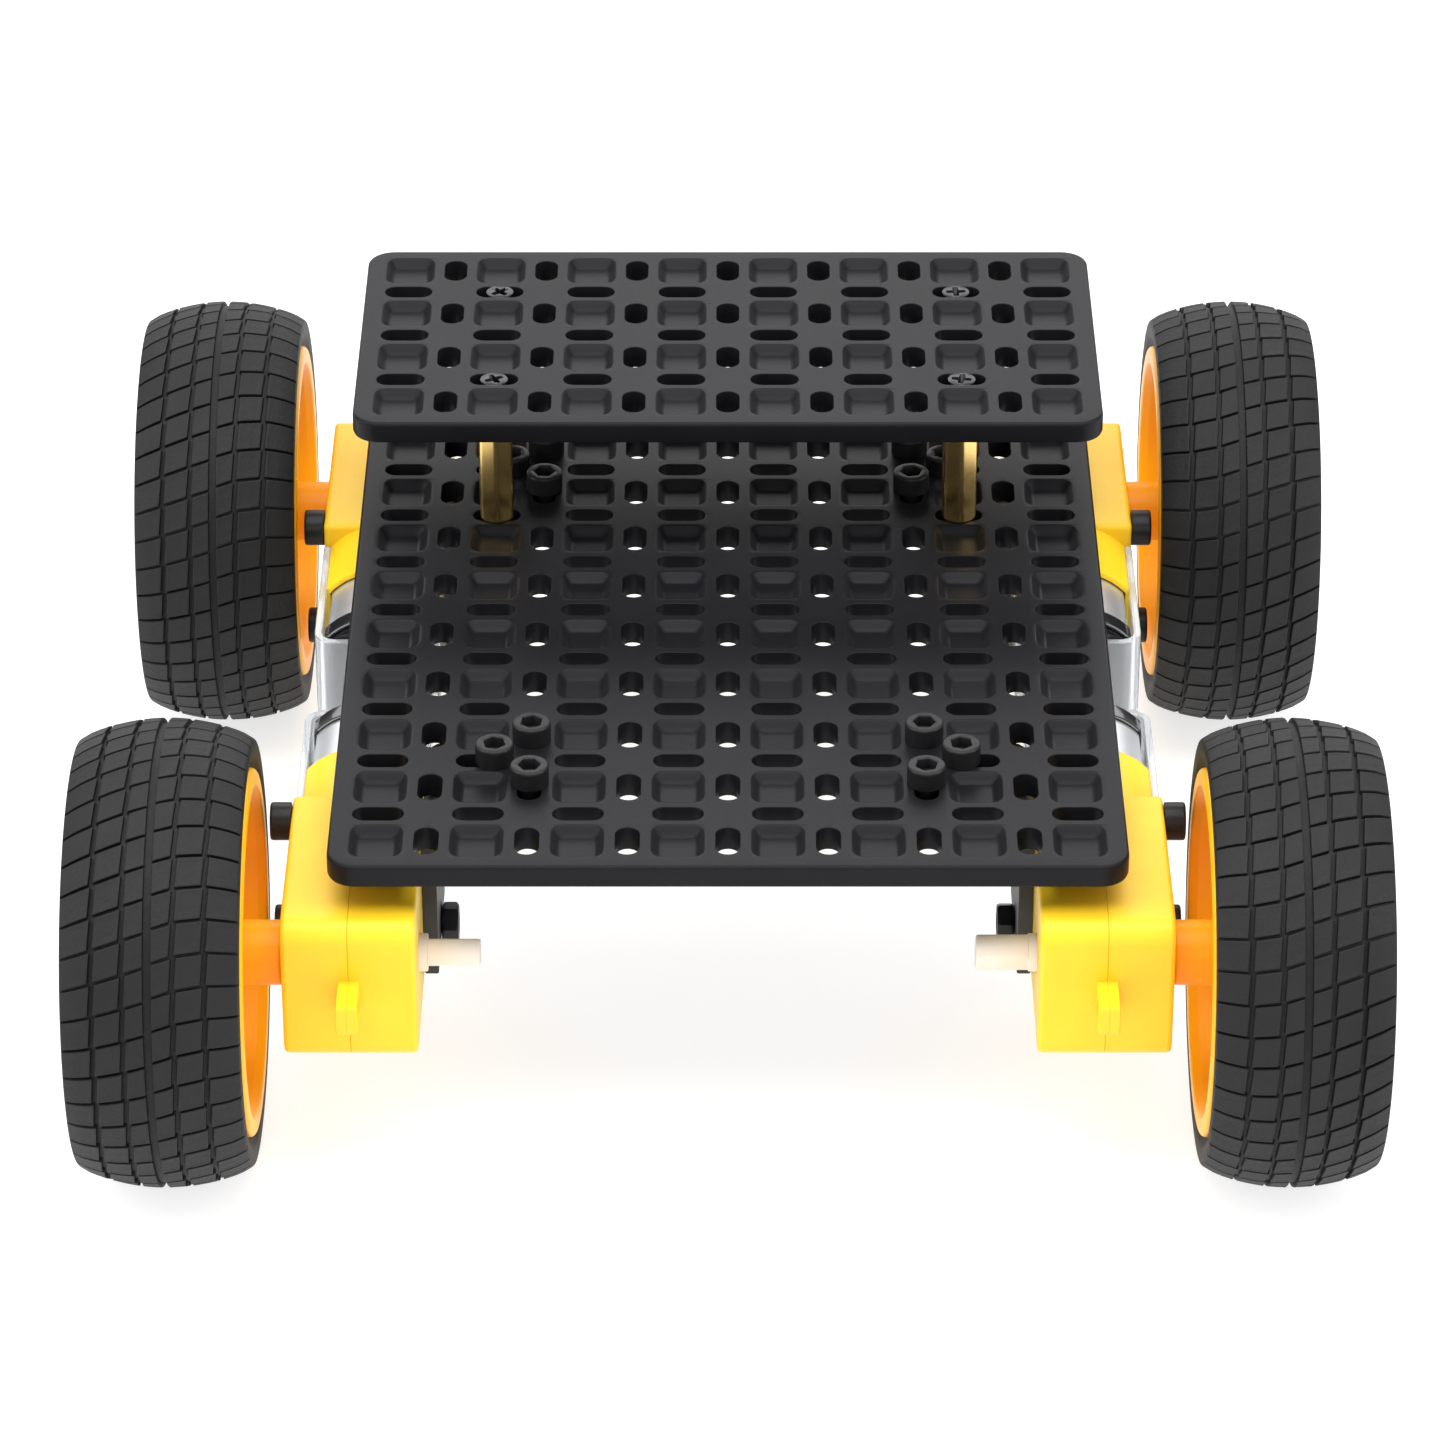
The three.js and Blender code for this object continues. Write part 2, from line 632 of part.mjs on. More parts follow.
// Each corner takes the same geared motor, turned half a turn about one axis. flats is the angle
// at which that output shaft happens to stand.
const CORNERS = [
  { name: "front_right", side: 1, end: -1, turn: [0, 0, 0], flats: 120 },
  { name: "front_left", side: -1, end: -1, turn: [0, Math.PI, 0], flats: 32 },
  { name: "rear_left", side: -1, end: 1, turn: [0, 0, Math.PI], flats: 15 },
  { name: "rear_right", side: 1, end: 1, turn: [Math.PI, 0, 0], flats: 75 },
];
const shapes = {
  tyre: geometryOf(tyre()),
  rim: geometryOf(rim()),
  idler: geometryOf(idlerGear()),
  crown: geometryOf(crownGear()),
  outerShell: geometryOf(outerShell()),
  innerShell: geometryOf(innerShell()),
  can: geometryOf(motorCan()),
  endCap: geometryOf(motorEndCap()),
  rotor: geometryOf(motorRotor()),
  bracket: geometryOf(bracket()),
  screw: geometryOf(motorScrew()),
};

for (const { name, side, end, turn, flats } of CORNERS) {
  const wheel = new THREE.Group();
  wheel.position.set(side * WHEEL_CENTRE_X, end * AXLE_Y, WHEEL_RADIUS);
  wheel.rotation.z = side > 0 ? 0 : Math.PI;
  robot.add(wheel);
  place(wheel, `tyre_${name}`, shapes.tyre, tyreRubber);
  place(wheel, `rim_${name}`, shapes.rim, orangePlastic);

  const motor = new THREE.Group();
  motor.position.set(side * GEARBOX_CENTRE_X, end * AXLE_Y, WHEEL_RADIUS);
  motor.rotation.set(...turn);
  robot.add(motor);
  place(motor, `output_shaft_${name}`, geometryOf(outputShaft(flats)), milkyPlastic);
  place(motor, `idler_gear_${name}`, shapes.idler, milkyPlastic, 0, IDLER_Y);
  place(motor, `crown_gear_${name}`, shapes.crown, milkyPlastic, 0, CROWN_Y);
  place(motor, `gearbox_outer_shell_${name}`, shapes.outerShell, yellowPlastic);
  place(motor, `gearbox_inner_shell_${name}`, shapes.innerShell, yellowPlastic);
  place(motor, `motor_can_${name}`, shapes.can, motorSteel);
  place(motor, `motor_end_cap_${name}`, shapes.endCap, capNylon);
  place(motor, `motor_rotor_${name}`, shapes.rotor, rotorCopper);
  for (const [level, z] of [
    ["a", MOTOR_SCREW_Z],
    ["b", -MOTOR_SCREW_Z],
  ])
    place(motor, `motor_screw_${level}_${name}`, shapes.screw, blackSteel, 0, MOTOR_SCREW_Y, z);

  const mount = new THREE.Group();
  mount.position.set(0, end * (AXLE_Y - MOTOR_SCREW_Y), 0);
  mount.rotation.z = side > 0 ? 0 : Math.PI;
  robot.add(mount);
  place(mount, `motor_bracket_${name}`, shapes.bracket, blackSteel);
}

export default robot;
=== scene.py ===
"""Looks of the four-wheeled robot chassis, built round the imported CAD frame.

Shapes are worked out in millimetres in the part's own frame (+X right, -Y front, +Z up) and are
scaled to metres when a piece is made.
"""

import math

import bmesh
import bpy
import numpy as np
from mathutils import Euler, Matrix, Vector


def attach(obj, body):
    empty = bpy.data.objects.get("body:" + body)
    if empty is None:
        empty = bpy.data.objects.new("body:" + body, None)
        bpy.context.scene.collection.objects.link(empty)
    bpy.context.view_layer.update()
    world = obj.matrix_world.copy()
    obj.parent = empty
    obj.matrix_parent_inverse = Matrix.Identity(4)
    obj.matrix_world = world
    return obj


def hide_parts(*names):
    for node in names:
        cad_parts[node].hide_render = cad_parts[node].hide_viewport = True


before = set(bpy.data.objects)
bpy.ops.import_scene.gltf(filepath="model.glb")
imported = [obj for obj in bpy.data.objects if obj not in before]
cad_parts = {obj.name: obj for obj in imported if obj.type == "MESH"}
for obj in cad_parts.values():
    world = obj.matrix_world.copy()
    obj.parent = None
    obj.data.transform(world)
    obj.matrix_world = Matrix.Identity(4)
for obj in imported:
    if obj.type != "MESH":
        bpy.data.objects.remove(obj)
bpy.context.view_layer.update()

MM = 0.001

# ------------------------------------------------------------------ camera

CAMERA_PLACE = (-0.19, -779.1, 514.9)
CAMERA_PITCH = 58.226
CAMERA_LENS = 152.73
CAMERA_SHIFT = -0.0028

camera = bpy.data.objects.new("camera", bpy.data.cameras.new("camera"))
camera.location = Vector(CAMERA_PLACE) * MM
camera.rotation_euler = Euler((math.radians(CAMERA_PITCH), 0, 0))
camera.data.sensor_width = 36
camera.data.lens = CAMERA_LENS
camera.data.shift_x = CAMERA_SHIFT
camera.data.clip_start = 0.05
camera.data.clip_end = 20
bpy.context.scene.collection.objects.link(camera)
bpy.context.scene.camera = camera

# ------------------------------------------------------------------ sizes, in mm

PITCH = 14
CELL = PITCH / 2
# even columns and rows of cells, which hold the pockets, are wider than the odd ones
POCKET_CELL = 8.7
SLOT_CELL = PITCH - POCKET_CELL
COLUMNS = 8
LOWER_ROWS = 10
UPPER_ROWS = 4
LOWER_FIRST_ROW_Y = -63
UPPER_FIRST_ROW_Y = 21
PLATE_HALF_WIDTH = 55.7
PLATE_CORNER_RADIUS = 4
PLATE_EDGE_RADIUS = 0.55
LOWER_PLATE = (48.5, 52.0)
UPPER_PLATE = (72.0, 75.42)
UPPER_TOP = 75.5
ACROSS_SLOT_LENGTH = 7.2
LOWER_ALONG_SLOT_LENGTH = 6.8
UPPER_ALONG_SLOT_LENGTH = 6.4
SLOT_WIDTH = 3.4
SLOT_EDGE = 0.13
SLOT_DRAFT = 0.18
ACROSS_END_BOW = 1.69
ALONG_END_BOW = 1.5
POCKET_SIDE = 8.3
POCKET_NARROWING = 0.94
POCKET_CORNER = 2.0
POCKET_DEPTH = 1.3
POCKET_SLOPE = 1.25
CELL_POINTS = 40

STANDOFFS = {
    "front_left": (-35, 28),
    "front_right": (35, 28),
    "rear_left": (-35, 56),
    "rear_right": (35, 56),
}
STANDOFF_FLATS = 5
STANDOFF_TURN = 4.5
STANDOFF_BORE_RADIUS = 1.25

SCREW_RADIUS = 1.5
SCREW_HOLE_RADIUS = 1.65
SCREW_HEAD_RADIUS = 2.75
SCREW_HEAD_HEIGHT = 3
NUT_FLATS = 5.5
NUT_THICKNESS = 2.4

AXLE_Y = 62.5
AXLE_Z = 33
WHEEL_X = 78.8
GEARBOX_X = 52.8
BOX_HALF_WIDTH = 9.4
BOX_HALF_HEIGHT = 11.1
BOX_NOSE = -10.8
BOX_SHOULDER = 24
NECK_END = 37
NECK_RADIUS = 11.1
NECK_HALF_WIDTH = 8.5
TAB_START = -10.2
TAB_END = -17.4
TAB_HALF_HEIGHT = 2.3
TAB_HALF_THICKNESS = 1.5
TAB_HOLE_Y = -14.2
TAB_HOLE_RADIUS = 1.4
CAN_START = 28.3
CAN_END = 48.4
CAN_RADIUS = 10
CAN_HALF_FLATS = 7.55
CAN_WALL = 0.8
BAND_START = 47.4
BAND_END = 50.9
BAND_RADIUS = 10.5
BAND_HALF_FLATS = 8
CAP_START = 48.5
CAP_END = 51.4
CAP_RADIUS = 9.8
CAP_HALF_FLATS = 7.35
STRAP_START = 24.2
STRAP_END = 53
STRAP_HALF_SPAN = 9.4
STRAP_HALF_WIDTH = 7.5
STRAP_THICKNESS = 1.15
STRAP_BEND = 3.2
STRAP_HOLE_RADIUS = 3.7
SHAFT_RADIUS = 2.7
SHAFT_HALF_FLATS = 1.85
SHAFT_HALF_LENGTH = 18
GEAR_TEETH = 32
GEAR_ROOT_RADIUS = 8.5
GEAR_TOOTH_HEIGHT = 0.95
SCREW_Y = 20.5
SCREW_Z = 8.75
BRACKET_Y = 42
BRACKET_SCREWS = ((28, -5.75), (28, 5.75), (33.1, 0))
# how far each tyre has turned on its rim, in degrees
TYRE_TURNS = {"front_right": 3, "front_left": 0, "rear_left": 5, "rear_right": 2}

# name, side (+1 right), end (+1 rear), turn of the geared motor, angle of the shaft's flats
CORNERS = [
    ("front_right", 1, -1, (0, 0, 0), 120),
    ("front_left", -1, -1, (0, math.pi, 0), 32),
    ("rear_left", -1, 1, (0, 0, math.pi), 15),
    ("rear_right", 1, 1, (math.pi, 0, 0), 75),
]


# ------------------------------------------------------------------ materials


def links(material):
    """The material's node tree, its shader, and a helper that adds a node with set inputs."""
    material.use_nodes = True
    tree = material.node_tree
    shader = tree.nodes["Principled BSDF"]

    def add(kind, **inputs):
        node = tree.nodes.new(kind)
        for name, value in inputs.items():
            node.inputs[name.replace("_", " ")].default_value = value
        return node

    return tree, shader, add


def mottled(
    name, dark, light, roughness, scale=400, grain=3000, bump=0.08, stretch=(1, 1, 1), **sockets,
):
    """A surface whose colour and roughness drift between two ends, with a fine grain in relief."""
    material = bpy.data.materials.new(name)
    tree, shader, add = links(material)
    place = add("ShaderNodeTexCoord")
    stretched = add("ShaderNodeMapping")
    stretched.inputs["Scale"].default_value = stretch
    tree.links.new(place.outputs["Object"], stretched.inputs["Vector"])
    cloud = add("ShaderNodeTexNoise", Scale=scale, Detail=4.0, Roughness=0.6)
    fine = add("ShaderNodeTexNoise", Scale=grain, Detail=3.0, Roughness=0.55)
    for texture in (cloud, fine):
        tree.links.new(stretched.outputs["Vector"], texture.inputs["Vector"])
    tint = add("ShaderNodeMix")
    tint.data_type = "RGBA"
    colours = {socket.name + socket.type: socket for socket in tint.inputs}
    colours["ARGBA"].default_value = (*dark, 1)
    colours["BRGBA"].default_value = (*light, 1)
    tree.links.new(cloud.outputs["Fac"], tint.inputs["Factor"])
    result = next(o for o in tint.outputs if o.type == "RGBA")
    tree.links.new(result, shader.inputs["Base Color"])
    polish = add("ShaderNodeMapRange")
    polish.inputs["To Min"].default_value = roughness[0]
    polish.inputs["To Max"].default_value = roughness[1]
    tree.links.new(fine.outputs["Fac"], polish.inputs["Value"])
    tree.links.new(polish.outputs["Result"], shader.inputs["Roughness"])
    relief = add("ShaderNodeBump", Strength=bump, Distance=0.0002)
    tree.links.new(fine.outputs["Fac"], relief.inputs["Height"])
    tree.links.new(relief.outputs["Normal"], shader.inputs["Normal"])
    for socket, value in sockets.items():
        shader.inputs[socket.replace("_", " ")].default_value = value
    return material


plate_plastic = mottled(
    "plate_plastic", (0.0056, 0.0056, 0.0070), (0.0105, 0.0105, 0.0124), (0.32, 0.46), 90, 2600, 0.10,
    Specular_IOR_Level=0.12,
)
rubber = mottled(
    "tyre_rubber", (0.0050, 0.0050, 0.0057), (0.0125, 0.0125, 0.0137), (0.50, 0.72), 90, 2200, 0.35,
    Specular_IOR_Level=0.3,
)
yellow = mottled(
    "gearbox_yellow", (0.94, 0.59, 0.012), (1.0, 0.66, 0.028), (0.34, 0.46), 120, 2400, 0.06,
    Specular_IOR_Level=0.34, Subsurface_Weight=0.12, Subsurface_Radius=(0.002, 0.0012, 0.0004),
)
orange = mottled(
    "rim_orange", (0.94, 0.42, 0.003), (1.0, 0.49, 0.008), (0.3, 0.42), 110, 2400, 0.05,
    Specular_IOR_Level=0.3, Subsurface_Weight=0.12, Subsurface_Radius=(0.002, 0.0008, 0.0003),
)
milky = mottled(
    "shaft_nylon", (0.78, 0.70, 0.60), (0.88, 0.82, 0.74), (0.4, 0.55), 200, 2400, 0.06,
    Subsurface_Weight=0.3, Subsurface_Radius=(0.002, 0.0015, 0.001),
)
white_nylon = mottled(
    "cap_nylon", (0.76, 0.79, 0.82), (0.86, 0.88, 0.90), (0.35, 0.5), 200, 2400, 0.06
)
steel = mottled(
    "can_steel", (0.66, 0.67, 0.69), (0.84, 0.85, 0.87), (0.34, 0.46), 300, 3000, 0.05, (1, 0.2, 1),
    Metallic=0.85,
)
brass = mottled(
    "standoff_brass", (0.88, 0.59, 0.19), (0.96, 0.68, 0.26), (0.22, 0.28), 260, 1800, 0.03,
    (1, 1, 0.12), Metallic=1,
)
black_oxide = mottled(
    "screw_black_oxide", (0.006, 0.006, 0.007), (0.020, 0.020, 0.021), (0.26, 0.46), 420, 3000, 0.12,
    Specular_IOR_Level=0.22,
)
dark_steel = mottled(
    "countersunk_steel", (0.035, 0.035, 0.037), (0.085, 0.085, 0.09), (0.22, 0.4), 420, 3000, 0.1,
    Metallic=1,
)
bracket_black = mottled(
    "bracket_black", (0.012, 0.012, 0.013), (0.026, 0.025, 0.025), (0.4, 0.6), 160, 2600, 0.18
)
ring_gloss = mottled(
    "ring_gloss_black", (0.008, 0.008, 0.009), (0.016, 0.016, 0.018), (0.12, 0.22), 160, 2400, 0.03,
    Coat_Weight=0.5,
)
clear = mottled(
    "strap_clear", (0.86, 0.91, 0.94), (0.95, 0.97, 0.98), (0.08, 0.16), 160, 160, 0.02,
    Transmission_Weight=0.75, IOR=1.45,
)
copper = mottled(
    "rotor_copper", (0.40, 0.20, 0.09), (0.66, 0.36, 0.18), (0.25, 0.45), 500, 2400, 0.2, (1, 0.2, 1),
    Metallic=1,
)


# ------------------------------------------------------------------ mesh helpers


class Shell:
    """Points and faces of one piece, gathered from closed loops of equally many points."""

    def __init__(self):
        self.points = []
        self.faces = []
        self.slots = []

    def add(self, points, faces, slot=0):
        base = len(self.points)
        self.points.extend(tuple(p) for p in points)
        self.faces.extend(tuple(base + i for i in f) for f in faces)
        self.slots.extend([slot] * len(faces))
        return self

    def loft(self, loops, caps=True, closed=False, slot=0):
        """Quads from each loop to the next; caps fill the first and the last loop."""
        count = len(loops[0])
        faces = []
        last = len(loops) if closed else len(loops) - 1
        for j in range(last):
            here = j * count
            there = ((j + 1) % len(loops)) * count
            for i in range(count):
                k = (i + 1) % count
                faces.append((here + i, here + k, there + k, there + i))
        if caps and not closed:
            faces.append(tuple(reversed(range(count))))
            faces.append(tuple((len(loops) - 1) * count + i for i in range(count)))
        return self.add([p for loop in loops for p in loop], faces, slot)

    def join(self, other, matrix=None, slot=0):
        points = other.points
        if matrix is not None:
            points = [tuple(matrix @ Vector(p)) for p in points]
        base = len(self.points)
        self.points.extend(points)
        self.faces.extend(tuple(base + i for i in f) for f in other.faces)
        self.slots.extend(s + slot for s in other.slots)
        return self


def mesh_of(shell, name, merge=0.0):
    """A Blender mesh of the shell, in metres, with every closed body facing outwards."""
    mesh = bpy.data.meshes.new(name)
    work = bmesh.new()
    vertices = [work.verts.new(Vector(p) * MM) for p in shell.points]
    for corners, slot in zip(shell.faces, shell.slots):
        try:
            face = work.faces.new([vertices[i] for i in corners])
        except ValueError:
            continue
        face.material_index = slot
    if merge:
        bmesh.ops.remove_doubles(work, verts=work.verts, dist=merge * MM)
    bmesh.ops.recalc_face_normals(work, faces=work.faces)
    work.to_mesh(mesh)
    work.free()
    return mesh


def piece(name, mesh, materials, body, matrix=None, replaces=(), sharp=38, weighted=True):
    """An object of the mesh, moved by matrix (millimetres), riding on a CAD body."""
    if matrix is not None:
        mesh = mesh.copy()
        scaled = matrix.copy()
        scaled.translation = matrix.translation * MM
        mesh.transform(scaled)
    mesh.name = name
    mesh.materials.clear()
    for material in materials:
        mesh.materials.append(material)
    mesh.polygons.foreach_set("use_smooth", [True] * len(mesh.polygons))
    mesh.set_sharp_from_angle(angle=math.radians(sharp))
    made = bpy.data.objects.new(name, mesh)
    bpy.context.scene.collection.objects.link(made)
    if weighted:
        normals = made.modifiers.new("normals", "WEIGHTED_NORMAL")
        normals.keep_sharp = True
        normals.weight = 90
    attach(made, body)
    if replaces:
        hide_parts(*replaces)
    return made


def combined(mesh, others, operation):
    """The mesh with the other meshes cut from it or joined to it."""
    base = bpy.data.objects.new("base", mesh)
    helpers = [bpy.data.objects.new("helper", other) for other in others]
    for made in (base, *helpers):
        bpy.context.scene.collection.objects.link(made)
    for helper in helpers:
        change = base.modifiers.new("change", "BOOLEAN")
        change.operation = operation
        change.solver = "EXACT"
        change.object = helper
    bpy.context.view_layer.update()
    graph = bpy.context.evaluated_depsgraph_get()
    result = bpy.data.meshes.new_from_object(base.evaluated_get(graph))
    for made in (base, *helpers):
        bpy.data.objects.remove(made)
    return result


def cut(mesh, *tools):
    """The mesh with the tool shells taken away from it."""
    return combined(mesh, [mesh_of(tool, "tool") for tool in tools], "DIFFERENCE")


def rounded(corners, steps=4, closed=True):
    """Points of a polyline of (u, v, radius) corners, each turned into an arc of that radius."""
    points = []
    count = len(corners)
    for i, (u, v, radius) in enumerate(corners):
        here = np.array((u, v), float)
        if radius <= 0 or (not closed and i in (0, count - 1)):
            points.append(tuple(here))
            continue
        before = np.array(corners[i - 1][:2], float) - here
        after = np.array(corners[(i + 1) % count][:2], float) - here
        before /= np.linalg.norm(before)
        after /= np.linalg.norm(after)
        half = math.acos(np.clip(before @ after, -1, 1)) / 2
        reach = radius / math.tan(half)
        start = here + before * reach
        finish = here + after * reach
        middle = here + (before + after) / np.linalg.norm(before + after) * radius / math.sin(half)
        a0 = math.atan2(*(start - middle)[::-1])
        a1 = math.atan2(*(finish - middle)[::-1])
        turn = (a1 - a0 + math.pi) % (2 * math.pi) - math.pi
        for k in range(steps + 1):
            a = a0 + turn * k / steps
            points.append((middle[0] + radius * math.cos(a), middle[1] + radius * math.sin(a)))
    return points


def angles(count):
    return [2 * math.pi * i / count for i in range(count)]


def along_axis(axis, u, v, height):
    """A point at height along the axis, and u and v across it."""
    return {"x": (height, u, v), "y": (v, height, u), "z": (u, v, height)}[axis]


def revolve(profile, count, axis="x", closed=True):
    """A profile of (reach, height) turned about an axis; a reach may be a function of the angle."""
    loops = [polar(count, reach, height, axis) for reach, height in profile]
    return Shell().loft(loops, caps=not closed, closed=closed)


def polar(count, reach, height, axis="z"):
    """One loop whose distance from the axis is reach: a number, or a function of the angle."""
    loop = []
    for a in angles(count):
        radius = reach(a) if callable(reach) else reach
        loop.append(along_axis(axis, radius * math.cos(a), radius * math.sin(a), height))
    return loop


def hexagon_reach(flats, turn=0.0):
    """Distance to the side of a hexagon, with its corners on multiples of 60 degrees."""
    return lambda a: flats / 2 / math.cos((a - turn) % (math.pi / 3) - math.pi / 6)


def flatted_reach(radius, flat, turn=0.0):
    """Distance to the side of a round bar with two flats, whose round sides face turn."""

    def reach(a):
        side = abs(math.sin(a - turn))
        return min(radius, flat / side) if side > 1e-9 else radius

    return reach


def ray_hit(outline, start, direction):
    """The farthest point where the ray from start in the direction meets the closed outline."""
    points = np.array(outline) - start
    edge = np.roll(points, -1, axis=0) - points
    d = np.array(direction)
    cross = d[0] * edge[:, 1] - d[1] * edge[:, 0]
    cross = np.where(np.abs(cross) < 1e-12, 1e-12, cross)
    along = (points[:, 0] * edge[:, 1] - points[:, 1] * edge[:, 0]) / cross
    part = (points[:, 0] * d[1] - points[:, 1] * d[0]) / cross
    hits = along[(part >= -1e-9) & (part <= 1 + 1e-9) & (along > 0)]
    return tuple(np.array(start) + d * hits.max())


# ------------------------------------------------------------------ plates


def rounded_square_loop(half, corner, count):
    """count points round a square with round corners, on rays through a square's even points."""
    h = half
    outline = rounded([(h, -h, corner), (h, h, corner), (-h, h, corner), (-h, -h, corner)], 8)
    return [ray_hit(outline, (0, 0), d) for d in rectangle_loop(1.0, 1.0, count)]


def slot_loop(half_length, half_width, bow, count):
    """count points round a slot along x, whose ends are arcs that rise by bow."""
    end_radius = (half_width**2 + bow**2) / (2 * bow)
    centre = half_length - end_radius
    spread = math.asin(min(half_width / end_radius, 1))
    corner = centre + end_radius * math.cos(spread)
    side = count // 4
    loop = []
    for way in (1, -1):
        for k in range(side):
            a = spread * (2 * k / side - 1)
            loop.append((way * (centre + end_radius * math.cos(a)), way * end_radius * math.sin(a)))
        for k in range(side):
            loop.append((way * corner * (1 - 2 * k / side), way * half_width))
    return loop


def rectangle_loop(half_x, half_y, count):
    """count points round a rectangle, evenly spaced along each side, from its (+, -) corner."""
    side = count // 4
    loop = []
    for (x0, y0), (x1, y1) in (
        ((1, -1), (1, 1)), ((1, 1), (-1, 1)), ((-1, 1), (-1, -1)), ((-1, -1), (1, -1)),
    ):
        for k in range(side):
            t = k / side
            loop.append((half_x * (x0 + (x1 - x0) * t), half_y * (y0 + (y1 - y0) * t)))
    return loop


def cell_border(i, j):
    """The rim of the cell in column i and row j: pockets have the wide even ones."""
    half_x, half_y = ((SLOT_CELL if k % 2 else POCKET_CELL) / 2 for k in (i, j))
    return rectangle_loop(half_x, half_y, CELL_POINTS)


def at(loop, x, y, z):
    return [(x + u, y + v, z) for u, v in loop]


def swapped(loop):
    """The loop turned a quarter turn, still starting from the same corner of its cell."""
    quarter = len(loop) // 4
    turned = [(-v, u) for u, v in loop]
    return turned[-quarter:] + turned[:-quarter]


def slot_cell(border, x, y, low, high, length, along_x):
    """One cell of the plate with a slot through it, a little narrower at its underside."""

    def loop(grow):
        bow = (ACROSS_END_BOW if along_x else ALONG_END_BOW) + grow
        base = slot_loop(length / 2 + grow, SLOT_WIDTH / 2 + grow, bow, CELL_POINTS)
        return base if along_x else swapped(base)

    e = SLOT_EDGE
    loops = [at(border, x, y, high)]
    for grow, drop in ((e, 0), (e * 0.62, e * 0.08), (e * 0.3, e * 0.3), (e * 0.08, e * 0.62), (0, e)):
        loops.append(at(loop(grow), x, y, high - drop))
    for grow, rise in ((0, e), (e * 0.3, e * 0.3), (e, 0)):
        loops.append(at(loop(grow - SLOT_DRAFT), x, y, low + rise))
    loops.append(at(border, x, y, low))
    return Shell().loft(loops, caps=False)


def pocket_cell(border, x, y, low, high):
    """A cell with a sloping-sided pocket in its top and a plain underside."""
    count = CELL_POINTS

    def loop(inset):
        corner = max(POCKET_CORNER - inset, 0.5)
        square = rounded_square_loop(POCKET_SIDE / 2 - inset, corner, count)
        return [(u * POCKET_NARROWING, v) for u, v in square]

    loops = [at(border, x, y, high), at(loop(0), x, y, high)]
    slope = POCKET_SLOPE
    for inset, drop in (
        (0.14, 0.05), (0.30, 0.18), (0.30 + slope * 0.5, 0.18 + (POCKET_DEPTH - 0.4) * 0.6),
        (0.26 + slope * 0.85, POCKET_DEPTH - 0.2), (0.36 + slope, POCKET_DEPTH - 0.06),
        (0.62 + slope, POCKET_DEPTH),
    ):
        loops.append(at(loop(inset), x, y, high - drop))
    cell = Shell().loft(loops, caps=False)
    cell.faces.append(tuple(len(cell.points) - count + i for i in range(count)))
    cell.slots.append(0)
    cell.add(at(border, x, y, low), [tuple(reversed(range(count)))])
    return cell


def plain_cell(border, x, y, low, high):
    count = CELL_POINTS
    cell = Shell().add(at(border, x, y, high), [tuple(range(count))])
    return cell.add(at(border, x, y, low), [tuple(reversed(range(count)))])


def moulded_plate(rows, first_row, low, high, along_slot_length):
    """A waffle plate: slots and pockets on a square grid inside a margin with round corners."""
    plate = Shell()
    last_column = 2 * COLUMNS - 2
    last_row = 2 * rows - 2
    x0 = -(COLUMNS - 1) * CELL
    for j in range(last_row + 1):
        for i in range(last_column + 1):
            spot = (cell_border(i, j), x0 + i * CELL, first_row + j * CELL, low, high)
            if i % 2 and not j % 2:
                plate.join(slot_cell(*spot, along_slot_length, along_x=False))
            elif j % 2 and not i % 2:
                plate.join(slot_cell(*spot, ACROSS_SLOT_LENGTH, along_x=True))
            elif i % 2:
                plate.join(plain_cell(*spot))
            else:
                plate.join(pocket_cell(*spot))
    middle_y = first_row + last_row * CELL / 2
    inner, rings = margin_loops(last_column + 1, last_row + 1, low, high)
    loops = [[(u, middle_y + v, high) for u, v in inner]]
    loops += [[(u, middle_y + v, z) for u, v in ring] for ring, z in rings]
    loops += [[(u, middle_y + v, low) for u, v in inner]]
    return plate.join(Shell().loft(loops, caps=False))


